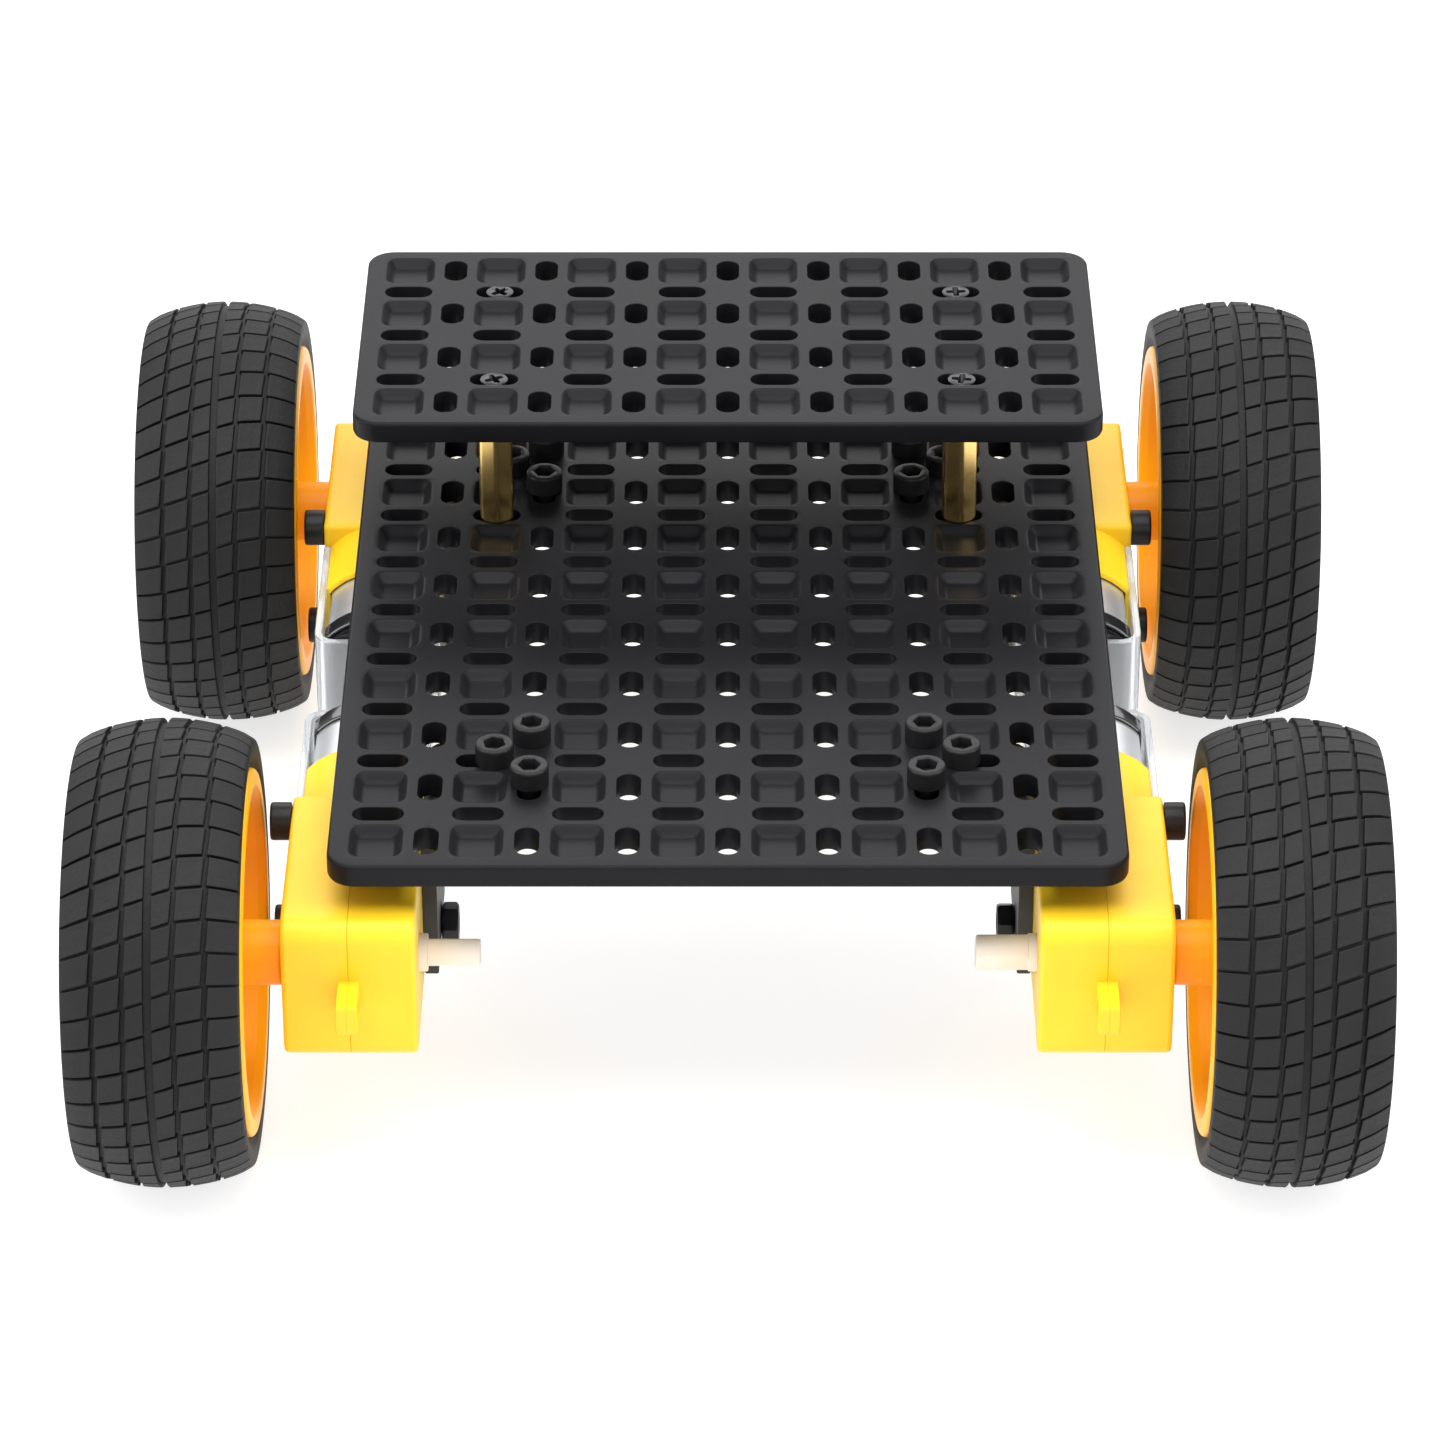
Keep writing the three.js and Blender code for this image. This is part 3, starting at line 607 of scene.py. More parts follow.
def margin_loops(cells_x, cells_y, low, high):
    """The grid's rim, and the plate's outer outline at each height of its eased edge.

    Corner arcs have several points where the grid has one corner, so the corner is repeated.
    """
    arc_steps = 8
    half_x, half_y = (((n - 1) * CELL + POCKET_CELL) / 2 for n in (cells_x, cells_y))
    outer_x = PLATE_HALF_WIDTH
    outer_y = half_y + outer_x - half_x

    def side(cells):
        """Where the cells' points stand along one side, without its two ends."""
        start = -((cells - 1) * CELL + POCKET_CELL) / 2
        steps = CELL_POINTS // 4
        stations = []
        for i in range(cells):
            size = SLOT_CELL if i % 2 else POCKET_CELL
            stations.extend(start + size * k / steps for k in range(steps))
            start += size
        return stations[1:]

    across, along = side(cells_x), side(cells_y)

    def outline(inset):
        radius = PLATE_CORNER_RADIUS - inset
        wide, deep = outer_x - inset, outer_y - inset
        centre_x, centre_y = wide - radius, deep - radius
        points = []
        for cx, cy, start, run in (
            (1, -1, -90, [(wide, v * centre_y / half_y) for v in along]),
            (1, 1, 0, [(-u * centre_x / half_x, deep) for u in across]),
            (-1, 1, 90, [(-wide, -v * centre_y / half_y) for v in along]),
            (-1, -1, 180, [(u * centre_x / half_x, -deep) for u in across]),
        ):
            for k in range(arc_steps + 1):
                a = math.radians(start + 90 * k / arc_steps)
                x = cx * centre_x + radius * math.cos(a)
                y = cy * centre_y + radius * math.sin(a)
                points.append((x, y))
            points.extend(run)
        return points

    inner = []
    for cx, cy, run in (
        (1, -1, [(half_x, v) for v in along]),
        (1, 1, [(-u, half_y) for u in across]),
        (-1, 1, [(-half_x, -v) for v in along]),
        (-1, -1, [(u, -half_y) for u in across]),
    ):
        inner.extend([(cx * half_x, cy * half_y)] * (arc_steps + 1))
        inner.extend(run)
    rings = []
    for edge, way, turns in ((high, -1, (0, 22.5, 45, 67.5, 90)), (low, 1, (90, 45, 0))):
        for turn in turns:
            a = math.radians(turn)
            inset = PLATE_EDGE_RADIUS * (1 - math.sin(a))
            rings.append((outline(inset), edge + way * PLATE_EDGE_RADIUS * (1 - math.cos(a))))
    return inner, rings


for node, shell in (
    ("lower_plate", moulded_plate(LOWER_ROWS, LOWER_FIRST_ROW_Y, *LOWER_PLATE, LOWER_ALONG_SLOT_LENGTH)),
    ("upper_plate", moulded_plate(UPPER_ROWS, UPPER_FIRST_ROW_Y, *UPPER_PLATE, UPPER_ALONG_SLOT_LENGTH)),
):
    plate = mesh_of(shell, node, 0.002)
    piece(f"moulded_{node}", plate, [plate_plastic], "chassis", None, [node])

# ------------------------------------------------------------------ standoffs and plate screws

HEX_POINTS = 48


def hex_bar(flats, low, high, edge, bore, turn=0.0):
    """A hexagonal bar with chamfered corners at its ends and a hole right through."""
    full = hexagon_reach(flats, turn)
    chamfer = flats / 2 * 1.06

    def eased(a):
        return min(full(a), chamfer)

    profile = [
        (bore, low), (lambda a: eased(a) - 0.12, low), (eased, low + 0.06), (full, low + edge),
        (full, high - edge), (eased, high - 0.06), (lambda a: eased(a) - 0.12, high), (bore, high),
    ]
    return revolve(profile, HEX_POINTS, "z")


standoff_turn = math.radians(30 + STANDOFF_TURN)
standoff_ends = (LOWER_PLATE[1] + 0.1, UPPER_PLATE[0] - 0.1)
for name, (x, y) in STANDOFFS.items():
    bar = hex_bar(STANDOFF_FLATS, *standoff_ends, 0.45, STANDOFF_BORE_RADIUS, standoff_turn)
    piece(
        f"turned_standoff_{name}", mesh_of(bar, name), [brass], "chassis",
        Matrix.Translation((x, y, 0)), [f"standoff_{name}"], sharp=25,
    )


def cap_screw(head_radius, head_height, socket_flats, shank_radius, shank_length):
    """A cap screw along z: its head stands on z = 0 and its shank goes down from there."""
    r, h = head_radius, head_height
    hexed = hexagon_reach(socket_flats)
    profile = [
        (shank_radius - 0.25, -shank_length), (shank_radius, -shank_length + 0.3), (shank_radius, 0),
        (r - 0.12, 0), (r - 0.03, 0.04), (r, 0.14), (r, h - 0.4), (r - 0.04, h - 0.22),
        (r - 0.14, h - 0.08), (r - 0.3, h), (lambda a: hexed(a) + 0.14, h),
        (lambda a: hexed(a) + 0.04, h - 0.05), (hexed, h - 0.16), (hexed, h * 0.45), (0.3, h * 0.36),
    ]
    return revolve(profile, HEX_POINTS, "z", closed=False)


def nut(flats, thickness, bore):
    """A hexagon nut along z from z = 0 up, with its corners turned off."""
    full = hexagon_reach(flats)
    turned_off = flats / 2 * 1.02

    def eased(a):
        return min(full(a), turned_off + 0.3)

    profile = [
        (bore, 0), (turned_off - 0.1, 0), (eased, 0.28), (full, 0.42), (full, thickness - 0.42),
        (eased, thickness - 0.28), (turned_off - 0.1, thickness), (bore, thickness),
    ]
    return revolve(profile, HEX_POINTS, "z")


def flat_screw(radius, depth, low):
    """A countersunk screw along z with its top at z = 0 and a cross recess in it."""

    def cross(a):
        folded = (a + math.pi / 4) % (math.pi / 2) - math.pi / 4
        arm = 0.42 / max(abs(math.sin(folded)), 1e-6)
        return max(min(radius * 0.68, arm), 0.52)

    profile = [
        (1.1, low), (1.2, low + 0.3), (1.2, -depth), (radius - 0.05, -0.3), (radius, -0.2),
        (radius - 0.03, -0.07), (radius - 0.14, 0), (lambda a: cross(a) + 0.08, 0), (cross, -0.12),
        (lambda a: cross(a) * 0.7, -0.9), (0.15, -1.1),
    ]
    return revolve(profile, HEX_POINTS, "z", closed=False)


top_screw = mesh_of(flat_screw(2.1, 1.5, -7.5), "top_screw")
bottom_screw = mesh_of(cap_screw(2.6, 1.5, 2.0, 1.2, 9.5), "bottom_screw")
for turn, (name, (x, y)) in enumerate(STANDOFFS.items()):
    spin = Matrix.Rotation(0.5 + 0.9 * turn, 4, "Z")
    piece(
        f"countersunk_screw_{name}", top_screw, [dark_steel], "chassis",
        Matrix.Translation((x, y, UPPER_TOP)) @ spin,
    )
    piece(
        f"standoff_screw_{name}", bottom_screw, [black_oxide], "chassis",
        Matrix.Translation((x, y, LOWER_PLATE[0])) @ Matrix.Rotation(math.pi, 4, "X") @ spin,
    )

# ------------------------------------------------------------------ wheels

WHEEL_POINTS = 160
TREAD_RADIUS = 33
BLOCKS = 44
TREAD_DEPTH = 0.7
TREAD_LIP = 0.045
BLOCK_COLUMNS = [(-12.25, -8.0), (-7.4, -3.75), (-3.15, -0.5), (0.5, 3.15), (3.75, 7.4), (8.0, 12.25)]


def crown(x):
    """Radius of the tread's surface at x across the tyre."""
    return TREAD_RADIUS - 0.018 * x * x - 0.35 * (abs(x) / 12) ** 14


def slant(x):
    """How far round the tyre the cross grooves have moved at x, in mm."""
    inner = min(max(x, -12.4), -7.7) + 7.7
    between = min(max(x, -7.7), -3.45) + 3.45
    outer = max(x, -3.45) + 3.45
    return -0.05 * inner + 0.14 * between + 0.325 * outer + (0.27 if x > 0 else 0)


def lines_across():
    """Positions across the tyre with what each is: floor, edge, lip or top."""
    lines = []
    for a, b in BLOCK_COLUMNS:
        lines += [(a, "floor"), (a + 0.1, "edge"), (a + 0.2, "lip"), (a + 0.42, "top")]
        lines += [(a + 0.42 + (b - a - 0.84) * k / 3, "top") for k in (1, 2)]
        lines += [(b - 0.42, "top"), (b - 0.2, "lip"), (b - 0.1, "edge"), (b, "floor")]
    return lines


def lines_round():
    """Positions round one block pitch, as a share of the way, with what each is."""
    pitch = 2 * math.pi * TREAD_RADIUS / BLOCKS
    lines = [(-0.13, "floor"), (0.13, "floor"), (0.22, "edge"), (0.31, "lip"), (0.5, "top")]
    rest = pitch - 1.0
    lines += [(0.5 + rest * k / 3, "top") for k in (1, 2)]
    lines += [(pitch - 0.5, "top"), (pitch - 0.31, "lip"), (pitch - 0.22, "edge")]
    return lines, pitch


def treaded_tyre():
    """The tyre as one grid: tread blocks between grooves, then smooth sidewalls and bead."""
    across = lines_across()
    around, pitch = lines_round()
    half_sidewall = [(12.3, 28.6, 0), (12.1, 27.6, 0.6), (11.0, 26.35, 0.4), (9.2, 24.75, 0.5)]
    other_half = [(-x, radius, bend) for x, radius, bend in reversed(half_sidewall)]
    sidewall = rounded(half_sidewall + other_half, 3, closed=False)
    loops = []
    for b in range(BLOCKS):
        for s, kind in around:
            ring = []
            share = s / pitch - 0.5
            for x, column_kind in across:
                if "floor" in (kind, column_kind):
                    height = -TREAD_DEPTH
                elif "lip" in (kind, column_kind) and "edge" not in (kind, column_kind):
                    height = TREAD_LIP
                else:
                    height = 0.0
                inside = min(max((abs(x) - 1.0) / 2.2, 0), 1)
                outside = min(max((11.6 - abs(x)) / 1.5, 0), 1)
                if kind == "floor":
                    share = -0.5 if s > 0 else 0.5
                sway = 0.34 * max(min(share, 0.5), -0.5) * inside * outside
                radius = crown(x + sway) + height
                angle = (b * pitch + s + slant(x)) / TREAD_RADIUS
                ring.append((x + sway, -radius * math.cos(angle), radius * math.sin(angle)))
            for x, radius in sidewall:
                share_across = (x + 12.4) / 24.8
                lean = slant(-12) + (slant(12) - slant(-12)) * share_across
                angle = (b * pitch + s + lean) / TREAD_RADIUS
                ring.append((x, -radius * math.cos(angle), radius * math.sin(angle)))
            loops.append(ring)
    return Shell().loft(loops, closed=True)


WEB_INNER = 1.0
WEB_OUTER = 3.6
SECTORS = 5
SECTOR_POINTS = 40


def rim_body():
    """The rim's barrel and flanges, with a narrow ring inside that meets the web."""
    profile = rounded(
        [
            (22.3, WEB_INNER, 0.8), (23.0, -11.0, 0.3), (23.4, -12.4, 0.5), (26.0, -12.4, 0.8),
            (26.0, -11.0, 0.3), (24.5, -9.4, 0.4), (24.5, 9.4, 0.4), (26.0, 11.0, 0.3),
            (26.0, 12.4, 0.8), (23.4, 12.4, 0.5), (23.0, 11.0, 0.3), (22.3, WEB_OUTER, 0.8),
            (21.2, WEB_OUTER, 0), (21.2, WEB_INNER, 0),
        ],
        4,
    )
    return revolve(profile, WHEEL_POINTS)


def rim_web():
    """The web with five windows round the hub; the sleeve that takes the output shaft is made by rim_hub.
    """
    shell = Shell()
    half = math.pi / SECTORS
    quarter = SECTOR_POINTS // 4

    def sector_loop(r0, r1, spread):
        """Points round a sector: outwards, round the outside, inwards, round the inside."""
        loop = []
        for k in range(quarter):
            loop.append((r0 + (r1 - r0) * k / quarter, -spread))
        for k in range(quarter):
            loop.append((r1, -spread + 2 * spread * k / quarter))
        for k in range(quarter):
            loop.append((r1 - (r1 - r0) * k / quarter, spread))
        for k in range(quarter):
            loop.append((r0, spread - 2 * spread * k / quarter))
        return loop

    border = [(r * math.cos(a), r * math.sin(a)) for r, a in sector_loop(5.4, 22.0, half)]

    def window_loop(grow):
        """A window with round corners, narrower near the hub."""
        low, high = 9.6 - grow, 19.2 + grow
        flat_low = low * math.tan(math.radians(15))
        flat_high = high * math.tan(math.radians(23))
        corners = [
            (low, -flat_low - grow, 1.6 + grow), (high * 0.955, -flat_high - grow, 2.2 + grow),
            (high, 0, 40), (high * 0.955, flat_high + grow, 2.2 + grow),
            (low, flat_low + grow, 1.6 + grow),
        ]
        outline = rounded(corners, 8)
        centre = np.array([14.6, 0.0])
        return [ray_hit(outline, centre, np.array(p) - centre) for p in border]

    for i in range(SECTORS):
        turn = math.pi / 2 + 2 * math.pi * i / SECTORS
        c, s = math.cos(turn), math.sin(turn)

        def placed(points, x):
            return [(x, u * c - v * s, u * s + v * c) for u, v in points]

        loops = [
            placed(border, WEB_INNER), placed(window_loop(0.35), WEB_INNER),
            placed(window_loop(0.1), WEB_INNER + 0.1), placed(window_loop(0), WEB_INNER + 0.35),
            placed(window_loop(0), WEB_OUTER - 0.35), placed(window_loop(0.1), WEB_OUTER - 0.1),
            placed(window_loop(0.35), WEB_OUTER), placed(border, WEB_OUTER),
        ]
        shell.loft(loops, caps=False)
    return shell


def rim_hub():
    """The sleeve round the shaft, with a small hole in its closed outer end."""
    profile = rounded(
        [
            (2.95, -16.1, 0.2), (4.6, -16.1, 0.35), (4.75, WEB_INNER - 0.6, 0.6), (5.6, WEB_INNER, 0.2),
            (5.6, WEB_OUTER, 0.2), (4.7, WEB_OUTER + 0.9, 0.4), (1.3, WEB_OUTER + 0.9, 0.2),
            (1.3, WEB_OUTER - 1.4, 0), (2.95, WEB_OUTER - 1.4, 0),
        ],
        3,
    )
    return revolve(profile, 64)


tyre_mesh = mesh_of(treaded_tyre(), "tyre")
rim_mesh = mesh_of(rim_body().join(rim_web()).join(rim_hub()), "rim", 0.001)
for name, side, end, _, _ in CORNERS:
    place = Matrix.Translation((side * WHEEL_X, end * AXLE_Y, AXLE_Z))
    if side < 0:
        place = place @ Matrix.Rotation(math.pi, 4, "Z")
    spin = Matrix.Rotation(math.radians(TYRE_TURNS[name]), 4, "X")
    piece(
        f"treaded_tyre_{name}", tyre_mesh, [rubber], f"wheel_{name}", place @ spin, [f"tyre_{name}"],
        sharp=50, weighted=False,
    )
    piece(
        f"moulded_rim_{name}", rim_mesh, [orange], f"wheel_{name}", place, [f"rim_{name}"],
    )

# ------------------------------------------------------------------ geared motors

BOX_POINTS = 96
PARTING = 0.02


def box_outline(inset):
    """The gearbox seen from the side, as (y, z), with its nose corners round."""
    r = max(3.0 - inset, 0.4)
    low = max(0.9 - inset, 0.2)
    n, s, h = BOX_NOSE + inset, BOX_SHOULDER - inset, BOX_HALF_HEIGHT - inset
    return rounded([(n, h, r), (n, -h, r), (s, -h, low), (s, h, low)], 8)


def gearbox_half():
    """The outer half of the gearbox's body, hollow, open at the parting line and at the shaft."""
    wall = 1.2
    start = hole_start(box_outline(0))
    turned = [a - start for a in angles(len(box_outline(0)))]
    hole = [(2.95 * math.cos(a), 2.95 * math.sin(a)) for a in turned]
    flat = BOX_HALF_WIDTH

    def level(points, x):
        return [(x, u, v) for u, v in points]

    loops = [
        level(hole, flat - wall),
        level(hole, flat - 0.15),
        level([(u * 1.06, v * 1.06) for u, v in hole], flat),
        level(box_outline(0.75), flat),
        level(box_outline(0.44), flat - 0.06),
        level(box_outline(0.2), flat - 0.2),
        level(box_outline(0.06), flat - 0.44),
        level(box_outline(0), flat - 0.75),
        level(box_outline(0), 0.06),
        level(box_outline(0.05), 0.02),
        level(box_outline(wall), 0.02),
        level(box_outline(wall), flat - wall),
    ]
    return Shell().loft(loops, caps=False, closed=True)


def hole_start(outline):
    """The angle, to a whole step of the outline's points, from its first point to the +y axis."""
    u, v = outline[0]
    step = 2 * math.pi / len(outline)
    return -round((math.atan2(v, u) % (2 * math.pi)) / step) * step


def neck_half():
    """The outer half of the neck that holds the motor: a half tube with a flat side."""
    limit = math.degrees(math.asin(NECK_HALF_WIDTH / NECK_RADIUS))

    def section(shrink, gap):
        radius = NECK_RADIUS - shrink
        flat = NECK_HALF_WIDTH - shrink
        points = []
        for k in range(13):
            a = math.radians(90 - limit * k / 12)
            points.append((max(radius * math.cos(a), gap), radius * math.sin(a)))
        for k in range(1, 6):
            z = radius * math.sin(math.radians(90 - limit)) * (1 - k / 3)
            points.append((flat, z))
        for k in range(13):
            a = math.radians(-(90 - limit) - limit * k / 12)
            points.append((max(radius * math.cos(a), gap), radius * math.sin(a)))
        return points

    start = BOX_SHOULDER - 1.0
    loops = []
    for y, shrink in (
        (start, 0), (NECK_END - 0.5, 0), (NECK_END - 0.15, 0.12), (NECK_END, 0.45), (NECK_END, 0.8),
        (NECK_END - 0.3, 0.95), (start, 0.95),
    ):
        loops.append([(x, y, z) for x, z in section(shrink, PARTING)])
    return half_tube(loops)


def half_tube(loops):
    """Joins open sections into a closed half tube, edge to edge along the parting line."""
    shell = Shell()
    count = len(loops[0])
    total = len(loops)
    faces = []
    for j in range(total):
        here, there = j * count, ((j + 1) % total) * count
        for i in range(count - 1):
            faces.append((here + i, here + i + 1, there + i + 1, there + i))
    faces.append(tuple(j * count for j in range(total)))
    faces.append(tuple(j * count + count - 1 for j in reversed(range(total))))
    return shell.add([p for loop in loops for p in loop], faces)


def tab_half():
    """Half of the nose tab, split along the parting line, with its hole."""
    h, end = TAB_HALF_HEIGHT, TAB_HALF_HEIGHT - 0.05
    corners = [(TAB_START, h, 0), (TAB_END, end, 0.35), (TAB_END, -end, 0.35), (TAB_START, -h, 0)]
    outline = rounded(corners, 4)
    centre = (TAB_HOLE_Y, 0)
    rays = [(math.cos(a), math.sin(a)) for a in angles(48)]
    loop = [ray_hit(outline, centre, ray) for ray in rays]
    inner = [(TAB_HOLE_Y + (u - TAB_HOLE_Y) * 0.97, v * 0.94) for u, v in loop]
    ring = [(TAB_HOLE_Y + TAB_HOLE_RADIUS * u, TAB_HOLE_RADIUS * v) for u, v in rays]
    deep = TAB_HALF_THICKNESS
    loops = [
        [(0.01, u, v) for u, v in ring],
        [(deep, u, v) for u, v in ring],
        [(deep, u, v) for u, v in inner],
        [(deep - 0.08, u, v) for u, v in loop],
        [(0.01, u, v) for u, v in loop],
    ]
    return Shell().loft(loops, caps=False, closed=True)


def shell_mesh(name):
    """The whole outer half of the gearbox as one closed mesh."""
    body, neck, tab = (mesh_of(half, name) for half in (gearbox_half(), neck_half(), tab_half()))
    return combined(body, (neck, tab), "UNION")


def shaft_mesh(flats):
    """The output shaft: its gear, its round journals and the double-D ends."""
    d_section = flatted_reach(SHAFT_RADIUS, SHAFT_HALF_FLATS, math.radians(flats))
    half = SHAFT_HALF_LENGTH

    def tooth(a):
        phase = (a * GEAR_TEETH / (2 * math.pi)) % 1.0
        rise = min(max(abs(phase - 0.5) * 4 - 0.6, 0), 1)
        return GEAR_ROOT_RADIUS + GEAR_TOOTH_HEIGHT * rise

    bar = [
        (lambda a: d_section(a) - 0.35, -half), (lambda a: d_section(a) - 0.16, 0.1 - half),
        (lambda a: d_section(a) - 0.04, 0.3 - half), (d_section, 0.5 - half), (d_section, -10.65),
        (SHAFT_RADIUS - 0.1, -10.6), (SHAFT_RADIUS, -10.45), (SHAFT_RADIUS, -7.9),
        (SHAFT_RADIUS - 0.2, -7.8), (SHAFT_RADIUS - 0.2, 7.8), (SHAFT_RADIUS, 7.9), (SHAFT_RADIUS, 9.3),
        (d_section, 9.4), (d_section, half - 0.4), (lambda a: d_section(a) - 0.12, half - 0.1),
        (lambda a: d_section(a) - 0.35, half),
    ]
    gear = [
        (SHAFT_RADIUS - 0.3, -5.2), (lambda a: tooth(a) - 0.1, -5.2), (tooth, -5.1), (tooth, -2.5),
        (lambda a: tooth(a) - 0.1, -2.4), (SHAFT_RADIUS - 0.3, -2.4),
    ]
    return mesh_of(revolve(bar, 96, closed=False).join(revolve(gear, 192)), "shaft")


def flatted(radius, half_flats, stations):
    """Loops round the motor, whose sides are flat, for each (place along y, inset)."""
    loops = []
    for y, inset in stations:
        loops.append(polar(BOX_POINTS, flatted_reach(radius - inset, half_flats - inset), y, "y"))
    return loops


def can_mesh():
    """The steel can, open at its tail, with a bore at its front for the rotor's shaft."""
    start, end = CAN_START, CAN_END
    stations = [(start, 0.7), (start, 0.5), (start + 0.2, 0.15), (start + 0.6, 0), (end - 0.3, 0)]
    stations += [(end, 0.15), (end, CAN_WALL), (start + CAN_WALL, CAN_WALL)]
    loops = flatted(CAN_RADIUS, CAN_HALF_FLATS, stations)
    front, back = (polar(BOX_POINTS, 1.25, y, "y") for y in (start, start + CAN_WALL))
    return mesh_of(Shell().loft([front, *loops, back], caps=False, closed=True), "can")


def ring_mesh():
    """The black band round the can's tail, rolled over at both edges."""
    rolled = [(0, 0.48), (0, 0.22), (0.15, 0.06), (0.45, 0)]
    stations = [(BAND_START + y, inset) for y, inset in rolled]
    stations += [(BAND_END - y, inset) for y, inset in reversed(rolled)]
    loops = flatted(BAND_RADIUS, BAND_HALF_FLATS, stations)
    return mesh_of(Shell().loft(loops, caps=False, closed=True), "ring")


def end_cap_mesh():
    """The motor's end cap, and the bush in its middle."""
    start, end = CAP_START, CAP_END
    stations = [(start, 0.2), (start + 0.1, 0), (end - 0.6, 0), (end - 0.2, 0.16), (end, 0.6)]
    sides = flatted(CAP_RADIUS, CAP_HALF_FLATS, stations)
    front, rim, back = (polar(BOX_POINTS, r, y, "y") for r, y in ((2.2, start), (3, end), (2.2, end)))
    loops = [front, *sides, rim, back]
    bush = rounded(
        [
            (1.25, 48.6, 0), (2.9, 48.6, 0), (2.9, 51.2, 0), (3.2, 51.45, 0.1), (3.2, 53.6, 0.4),
            (2.3, 53.6, 0.3), (1.9, 52.6, 0.2), (1.25, 52.4, 0),
        ],
        4,
    )
    cap = Shell().loft(loops, caps=False, closed=True)
    return mesh_of(cap.join(revolve(bush, 64, "y"), slot=1), "end_cap")


def strap_mesh():
    """The clear strap: two flat arms along the motor, joined round its tail by a plate with a hole."""

    def bent(inset):
        """One face of the bent strip, inset from its outer face, as (x, y)."""
        out, tail, bend = STRAP_HALF_SPAN - inset, STRAP_END - inset, STRAP_BEND - inset
        corners = [(out, STRAP_START, 0), (out, tail, bend), (-out, tail, bend), (-out, STRAP_START, 0)]
        return rounded(corners, 8, closed=False)

    outer, inner = bent(0), bent(STRAP_THICKNESS)
    outline = outer + inner[::-1]
    facing = outline[::-1]
    count = len(outline)
    shell = Shell()
    h = STRAP_HALF_WIDTH
    levels = ((-h, 0.14), (0.14 - h, 0), (h - 0.14, 0), (h, 0.14))
    loops = []
    for z, inset in levels:
        loop = []
        for (u, v), (u1, v1) in zip(outline, facing):
            share = inset / math.hypot(u1 - u, v1 - v)
            loop.append((u + (u1 - u) * share, v + (v1 - v) * share, z))
        loops.append(loop)
    shell.loft(loops, caps=False)
    for base in (0, (len(loops) - 1) * count):
        for i in range(len(outer) - 1):
            mirror = count - 1 - i
            shell.faces.append((base + i, base + i + 1, base + mirror - 1, base + mirror))
            shell.slots.append(0)
    r = STRAP_HOLE_RADIUS
    hole = revolve([(r, STRAP_END - 13), (r, STRAP_END + 7)], 64, "y", closed=False)
    return cut(mesh_of(shell, "strap"), hole)


def motor_screw_mesh():
    """The long screw through gearbox and bracket along x, with its nut."""
    head = Matrix.Translation((9.5, 0, 0)) @ Matrix.Rotation(math.pi / 2, 4, "Y")
    tail = Matrix.Translation((-11.6, 0, 0)) @ Matrix.Rotation(-math.pi / 2, 4, "Y")
    screw = cap_screw(SCREW_HEAD_RADIUS, SCREW_HEAD_HEIGHT, 2.5, SCREW_RADIUS, 23.3)
    end_nut = nut(NUT_FLATS, NUT_THICKNESS, SCREW_RADIUS)
    return mesh_of(Shell().join(screw, head).join(end_nut, tail), "motor_screw")


def bracket_mesh():
    """The bent strip, drawn for the right side with y = 0 at its middle."""
    outer = GEARBOX_X - BOX_HALF_WIDTH - 0.1
    top = LOWER_PLATE[0] - 0.1
    section = [
        (outer - 2, 22.6, 0.3), (outer, 22.6, 0.3), (outer, top, 2.4), (23.5, top, 0.3),
        (23.5, top - 2, 0.3), (outer - 2, top - 2, 0.5),
    ]
    loops = [[(x, y, z) for x, z in rounded(section, 4)] for y in (-10.5, 10.5)]
    mesh = mesh_of(Shell().loft(loops), "bracket")
    r = SCREW_HOLE_RADIUS
    down = revolve([(r, top - 8.4), (r, top + 6.6)], 32, "z", closed=False)
    across = revolve([(r, outer - 8.3), (r, outer + 6.7)], 32, "x", closed=False)
    tools = [Shell().join(down, Matrix.Translation((x, y, 0))) for x, y in BRACKET_SCREWS]
    for z in (AXLE_Z - SCREW_Z, AXLE_Z + SCREW_Z):
        tools.append(Shell().join(across, Matrix.Translation((0, 0, z))))
    return cut(mesh, *tools)


outer_mesh = shell_mesh("outer_shell")
inner_mesh = outer_mesh.copy()
inner_mesh.transform(Matrix.Rotation(math.pi, 4, "Y"))
can = can_mesh()
band = ring_mesh()
end_cap = end_cap_mesh()
strap = strap_mesh()
motor_screw = motor_screw_mesh()
bracket = bracket_mesh()
short_screw = cap_screw(SCREW_HEAD_RADIUS, SCREW_HEAD_HEIGHT, 2.8, SCREW_RADIUS, 8.6)
bracket_screw = mesh_of(short_screw, "bracket_screw")
bracket_nut = mesh_of(nut(NUT_FLATS, NUT_THICKNESS, SCREW_RADIUS), "bracket_nut")

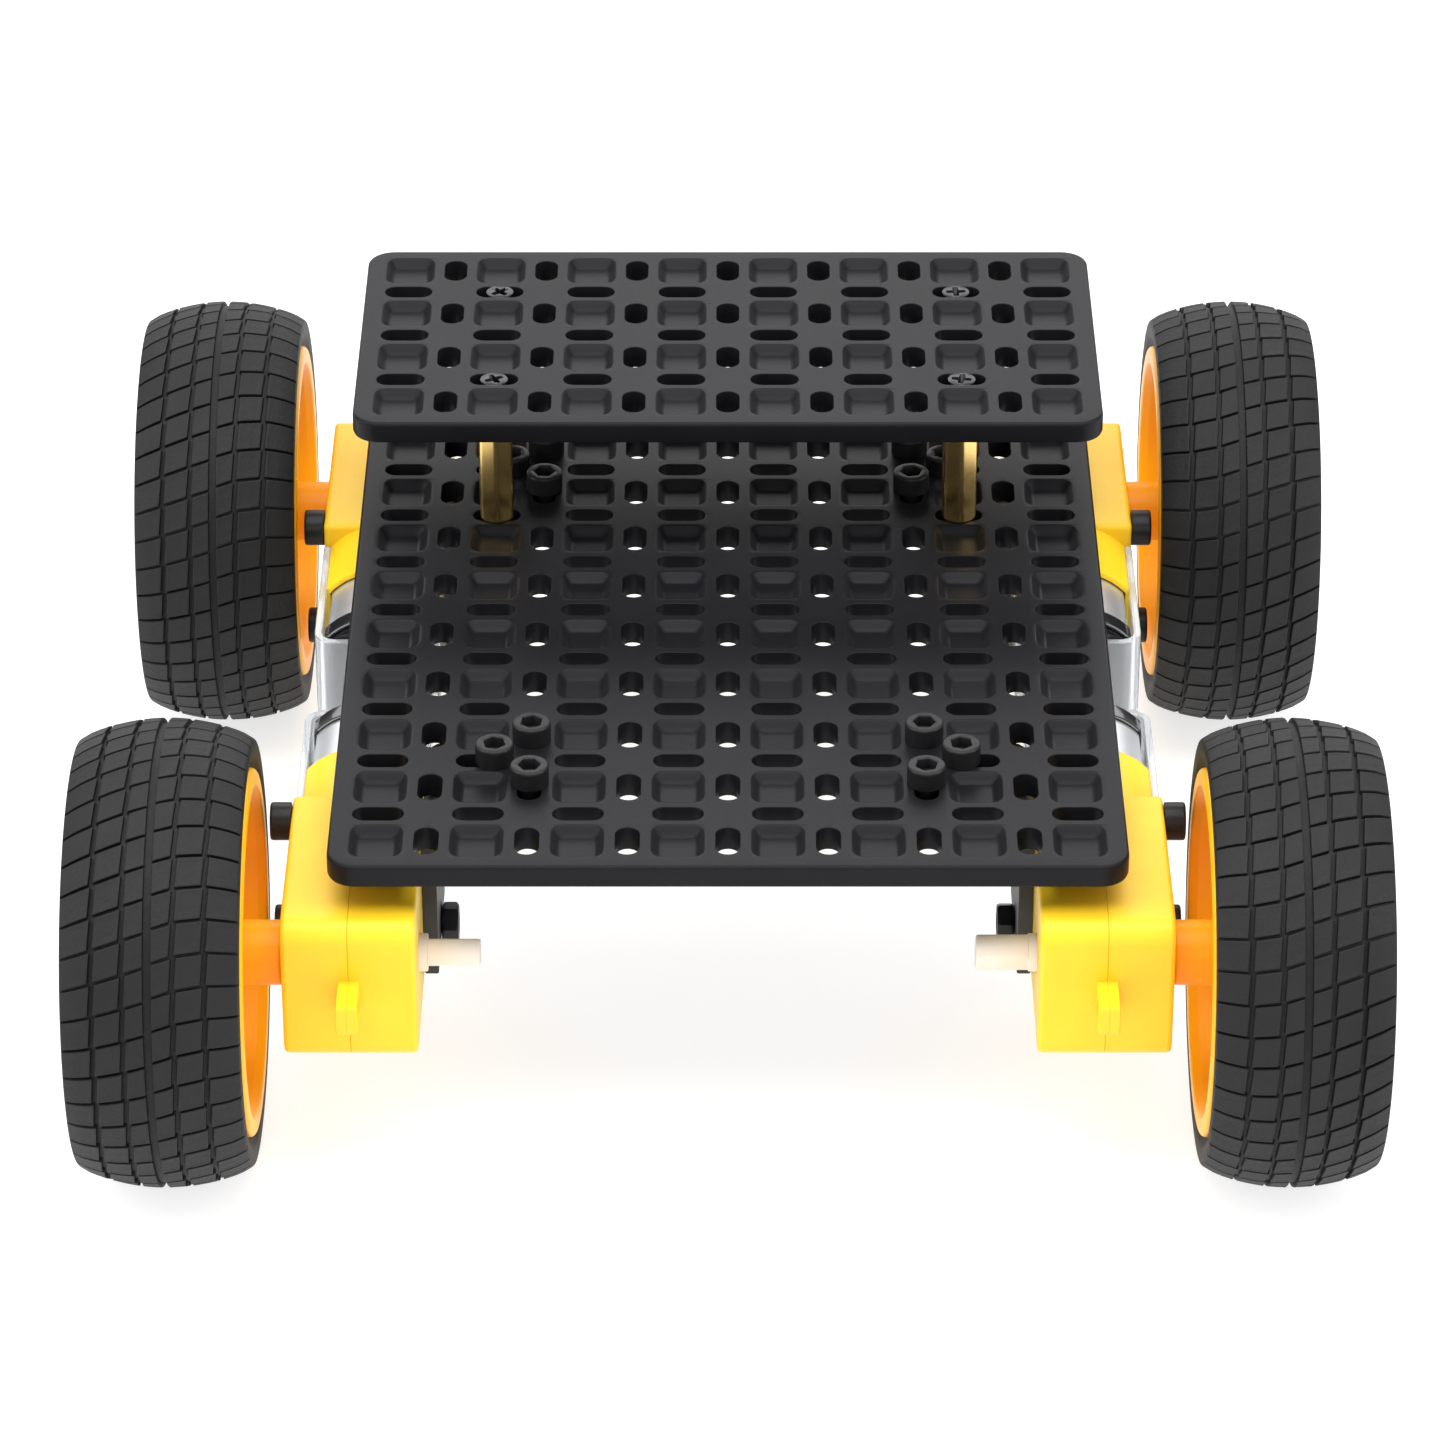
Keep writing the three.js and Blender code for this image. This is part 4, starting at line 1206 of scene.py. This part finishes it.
for name, side, end, turn, flats in CORNERS:
    place = Matrix.Translation((side * GEARBOX_X, end * AXLE_Y, AXLE_Z))
    motor = place @ Euler(turn).to_matrix().to_4x4()
    for label, mesh, materials, body, node, finish in (
        ("moulded_outer_shell", outer_mesh, [yellow], "chassis", "gearbox_outer_shell", "gearbox_plastic"),
        ("moulded_inner_shell", inner_mesh, [yellow], "chassis", "gearbox_inner_shell", "gearbox_plastic"),
        ("turned_shaft", shaft_mesh(flats), [milky], f"wheel_{name}", "output_shaft", "gear_plastic"),
        ("drawn_can", can, [steel], "chassis", "motor_can", "motor_steel"),
        ("black_band", band, [ring_gloss], "chassis", None, "ring_black"),
        ("nylon_cap", end_cap, [ring_gloss, white_nylon], "chassis", "motor_end_cap", "motor_cap"),
        ("clear_strap", strap, [clear], "chassis", None, "strap_clear"),
    ):
        replaced = [f"{node}_{name}"] if node else ()
        piece(f"{label}_{name}", mesh, materials, body, motor, replaced)
    for level, z in (("a", SCREW_Z), ("b", -SCREW_Z)):
        spot = motor @ Matrix.Translation((0, SCREW_Y, z)) @ Matrix.Rotation(0.4 + z, 4, "X")
        label = f"screw_{level}_{name}"
        replaced = [f"motor_{label}"]
        piece(f"long_{label}", motor_screw, [black_oxide], "chassis", spot, replaced)
    mount = Matrix.Translation((0, end * BRACKET_Y, 0))
    if side < 0:
        mount = mount @ Matrix.Rotation(math.pi, 4, "Z")
    replaced = [f"motor_bracket_{name}"]
    piece(f"bent_bracket_{name}", bracket, [bracket_black], "chassis", mount, replaced)
    for k, (x, y) in enumerate(BRACKET_SCREWS):
        twist = Matrix.Rotation(0.3 + 0.7 * k + side + end, 4, "Z")
        for part, mesh, z in (
            ("plate_screw", bracket_screw, LOWER_PLATE[1]),
            ("plate_nut", bracket_nut, LOWER_PLATE[0] - 2.15 - NUT_THICKNESS),
        ):
            spot = mount @ Matrix.Translation((x, y, z)) @ twist
            piece(f"{part}_{k}_{name}", mesh, [black_oxide], "chassis", spot)

for name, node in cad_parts.items():
    if name.startswith(("idler_gear", "crown_gear")):
        finish = milky
    elif name.startswith("motor_rotor"):
        finish = copper
    else:
        continue
    node.data.materials.clear()
    node.data.materials.append(finish)

# ------------------------------------------------------------------ floor and light

floor_material = bpy.data.materials.new("floor_pale")
_, floor_shader, _ = links(floor_material)
floor_shader.inputs["Base Color"].default_value = (0.5, 0.5, 0.505, 1)
floor_shader.inputs["Roughness"].default_value = 0.9
floor_shader.inputs["Emission Color"].default_value = (1, 1, 1, 1)
floor_shader.inputs["Emission Strength"].default_value = 0.72
floor_mesh = bpy.data.meshes.new("floor")
floor_mesh.from_pydata([(-6, -6, 0), (6, -6, 0), (6, 6, 0), (-6, 6, 0)], [], [(0, 1, 2, 3)])
floor_mesh.materials.append(floor_material)
floor = bpy.data.objects.new("floor", floor_mesh)
bpy.context.scene.collection.objects.link(floor)


def softbox(name, place, size, power):
    """A rectangular area light that faces the chassis."""
    light = bpy.data.lights.new(name, "AREA")
    light.shape = "RECTANGLE"
    light.size, light.size_y = size
    light.energy = power
    lamp = bpy.data.objects.new(name, light)
    lamp.location = place
    lamp.rotation_euler = (Vector((0, 0, 0.03)) - Vector(place)).to_track_quat("-Z", "Y").to_euler()
    bpy.context.scene.collection.objects.link(lamp)


softbox("light_top", (0, -0.2, 1.6), (1.8, 1.4), 30)
softbox("light_left", (-1.5, -0.3, 1.0), (0.9, 1.2), 17)
softbox("light_right", (1.5, -0.3, 1.0), (0.9, 1.2), 15)
softbox("light_front", (0, -2.0, 1.0), (1.6, 1.0), 9)
softbox("light_rear", (0, 2.2, 1.35), (3.2, 1.5), 34)

world = bpy.data.worlds.new("studio")
bpy.context.scene.world = world
world.use_nodes = True
world.node_tree.nodes["Background"].inputs["Color"].default_value = (1, 1, 1, 1)
world.node_tree.nodes["Background"].inputs["Strength"].default_value = 0.42
bpy.context.scene.view_settings.view_transform = "Standard"
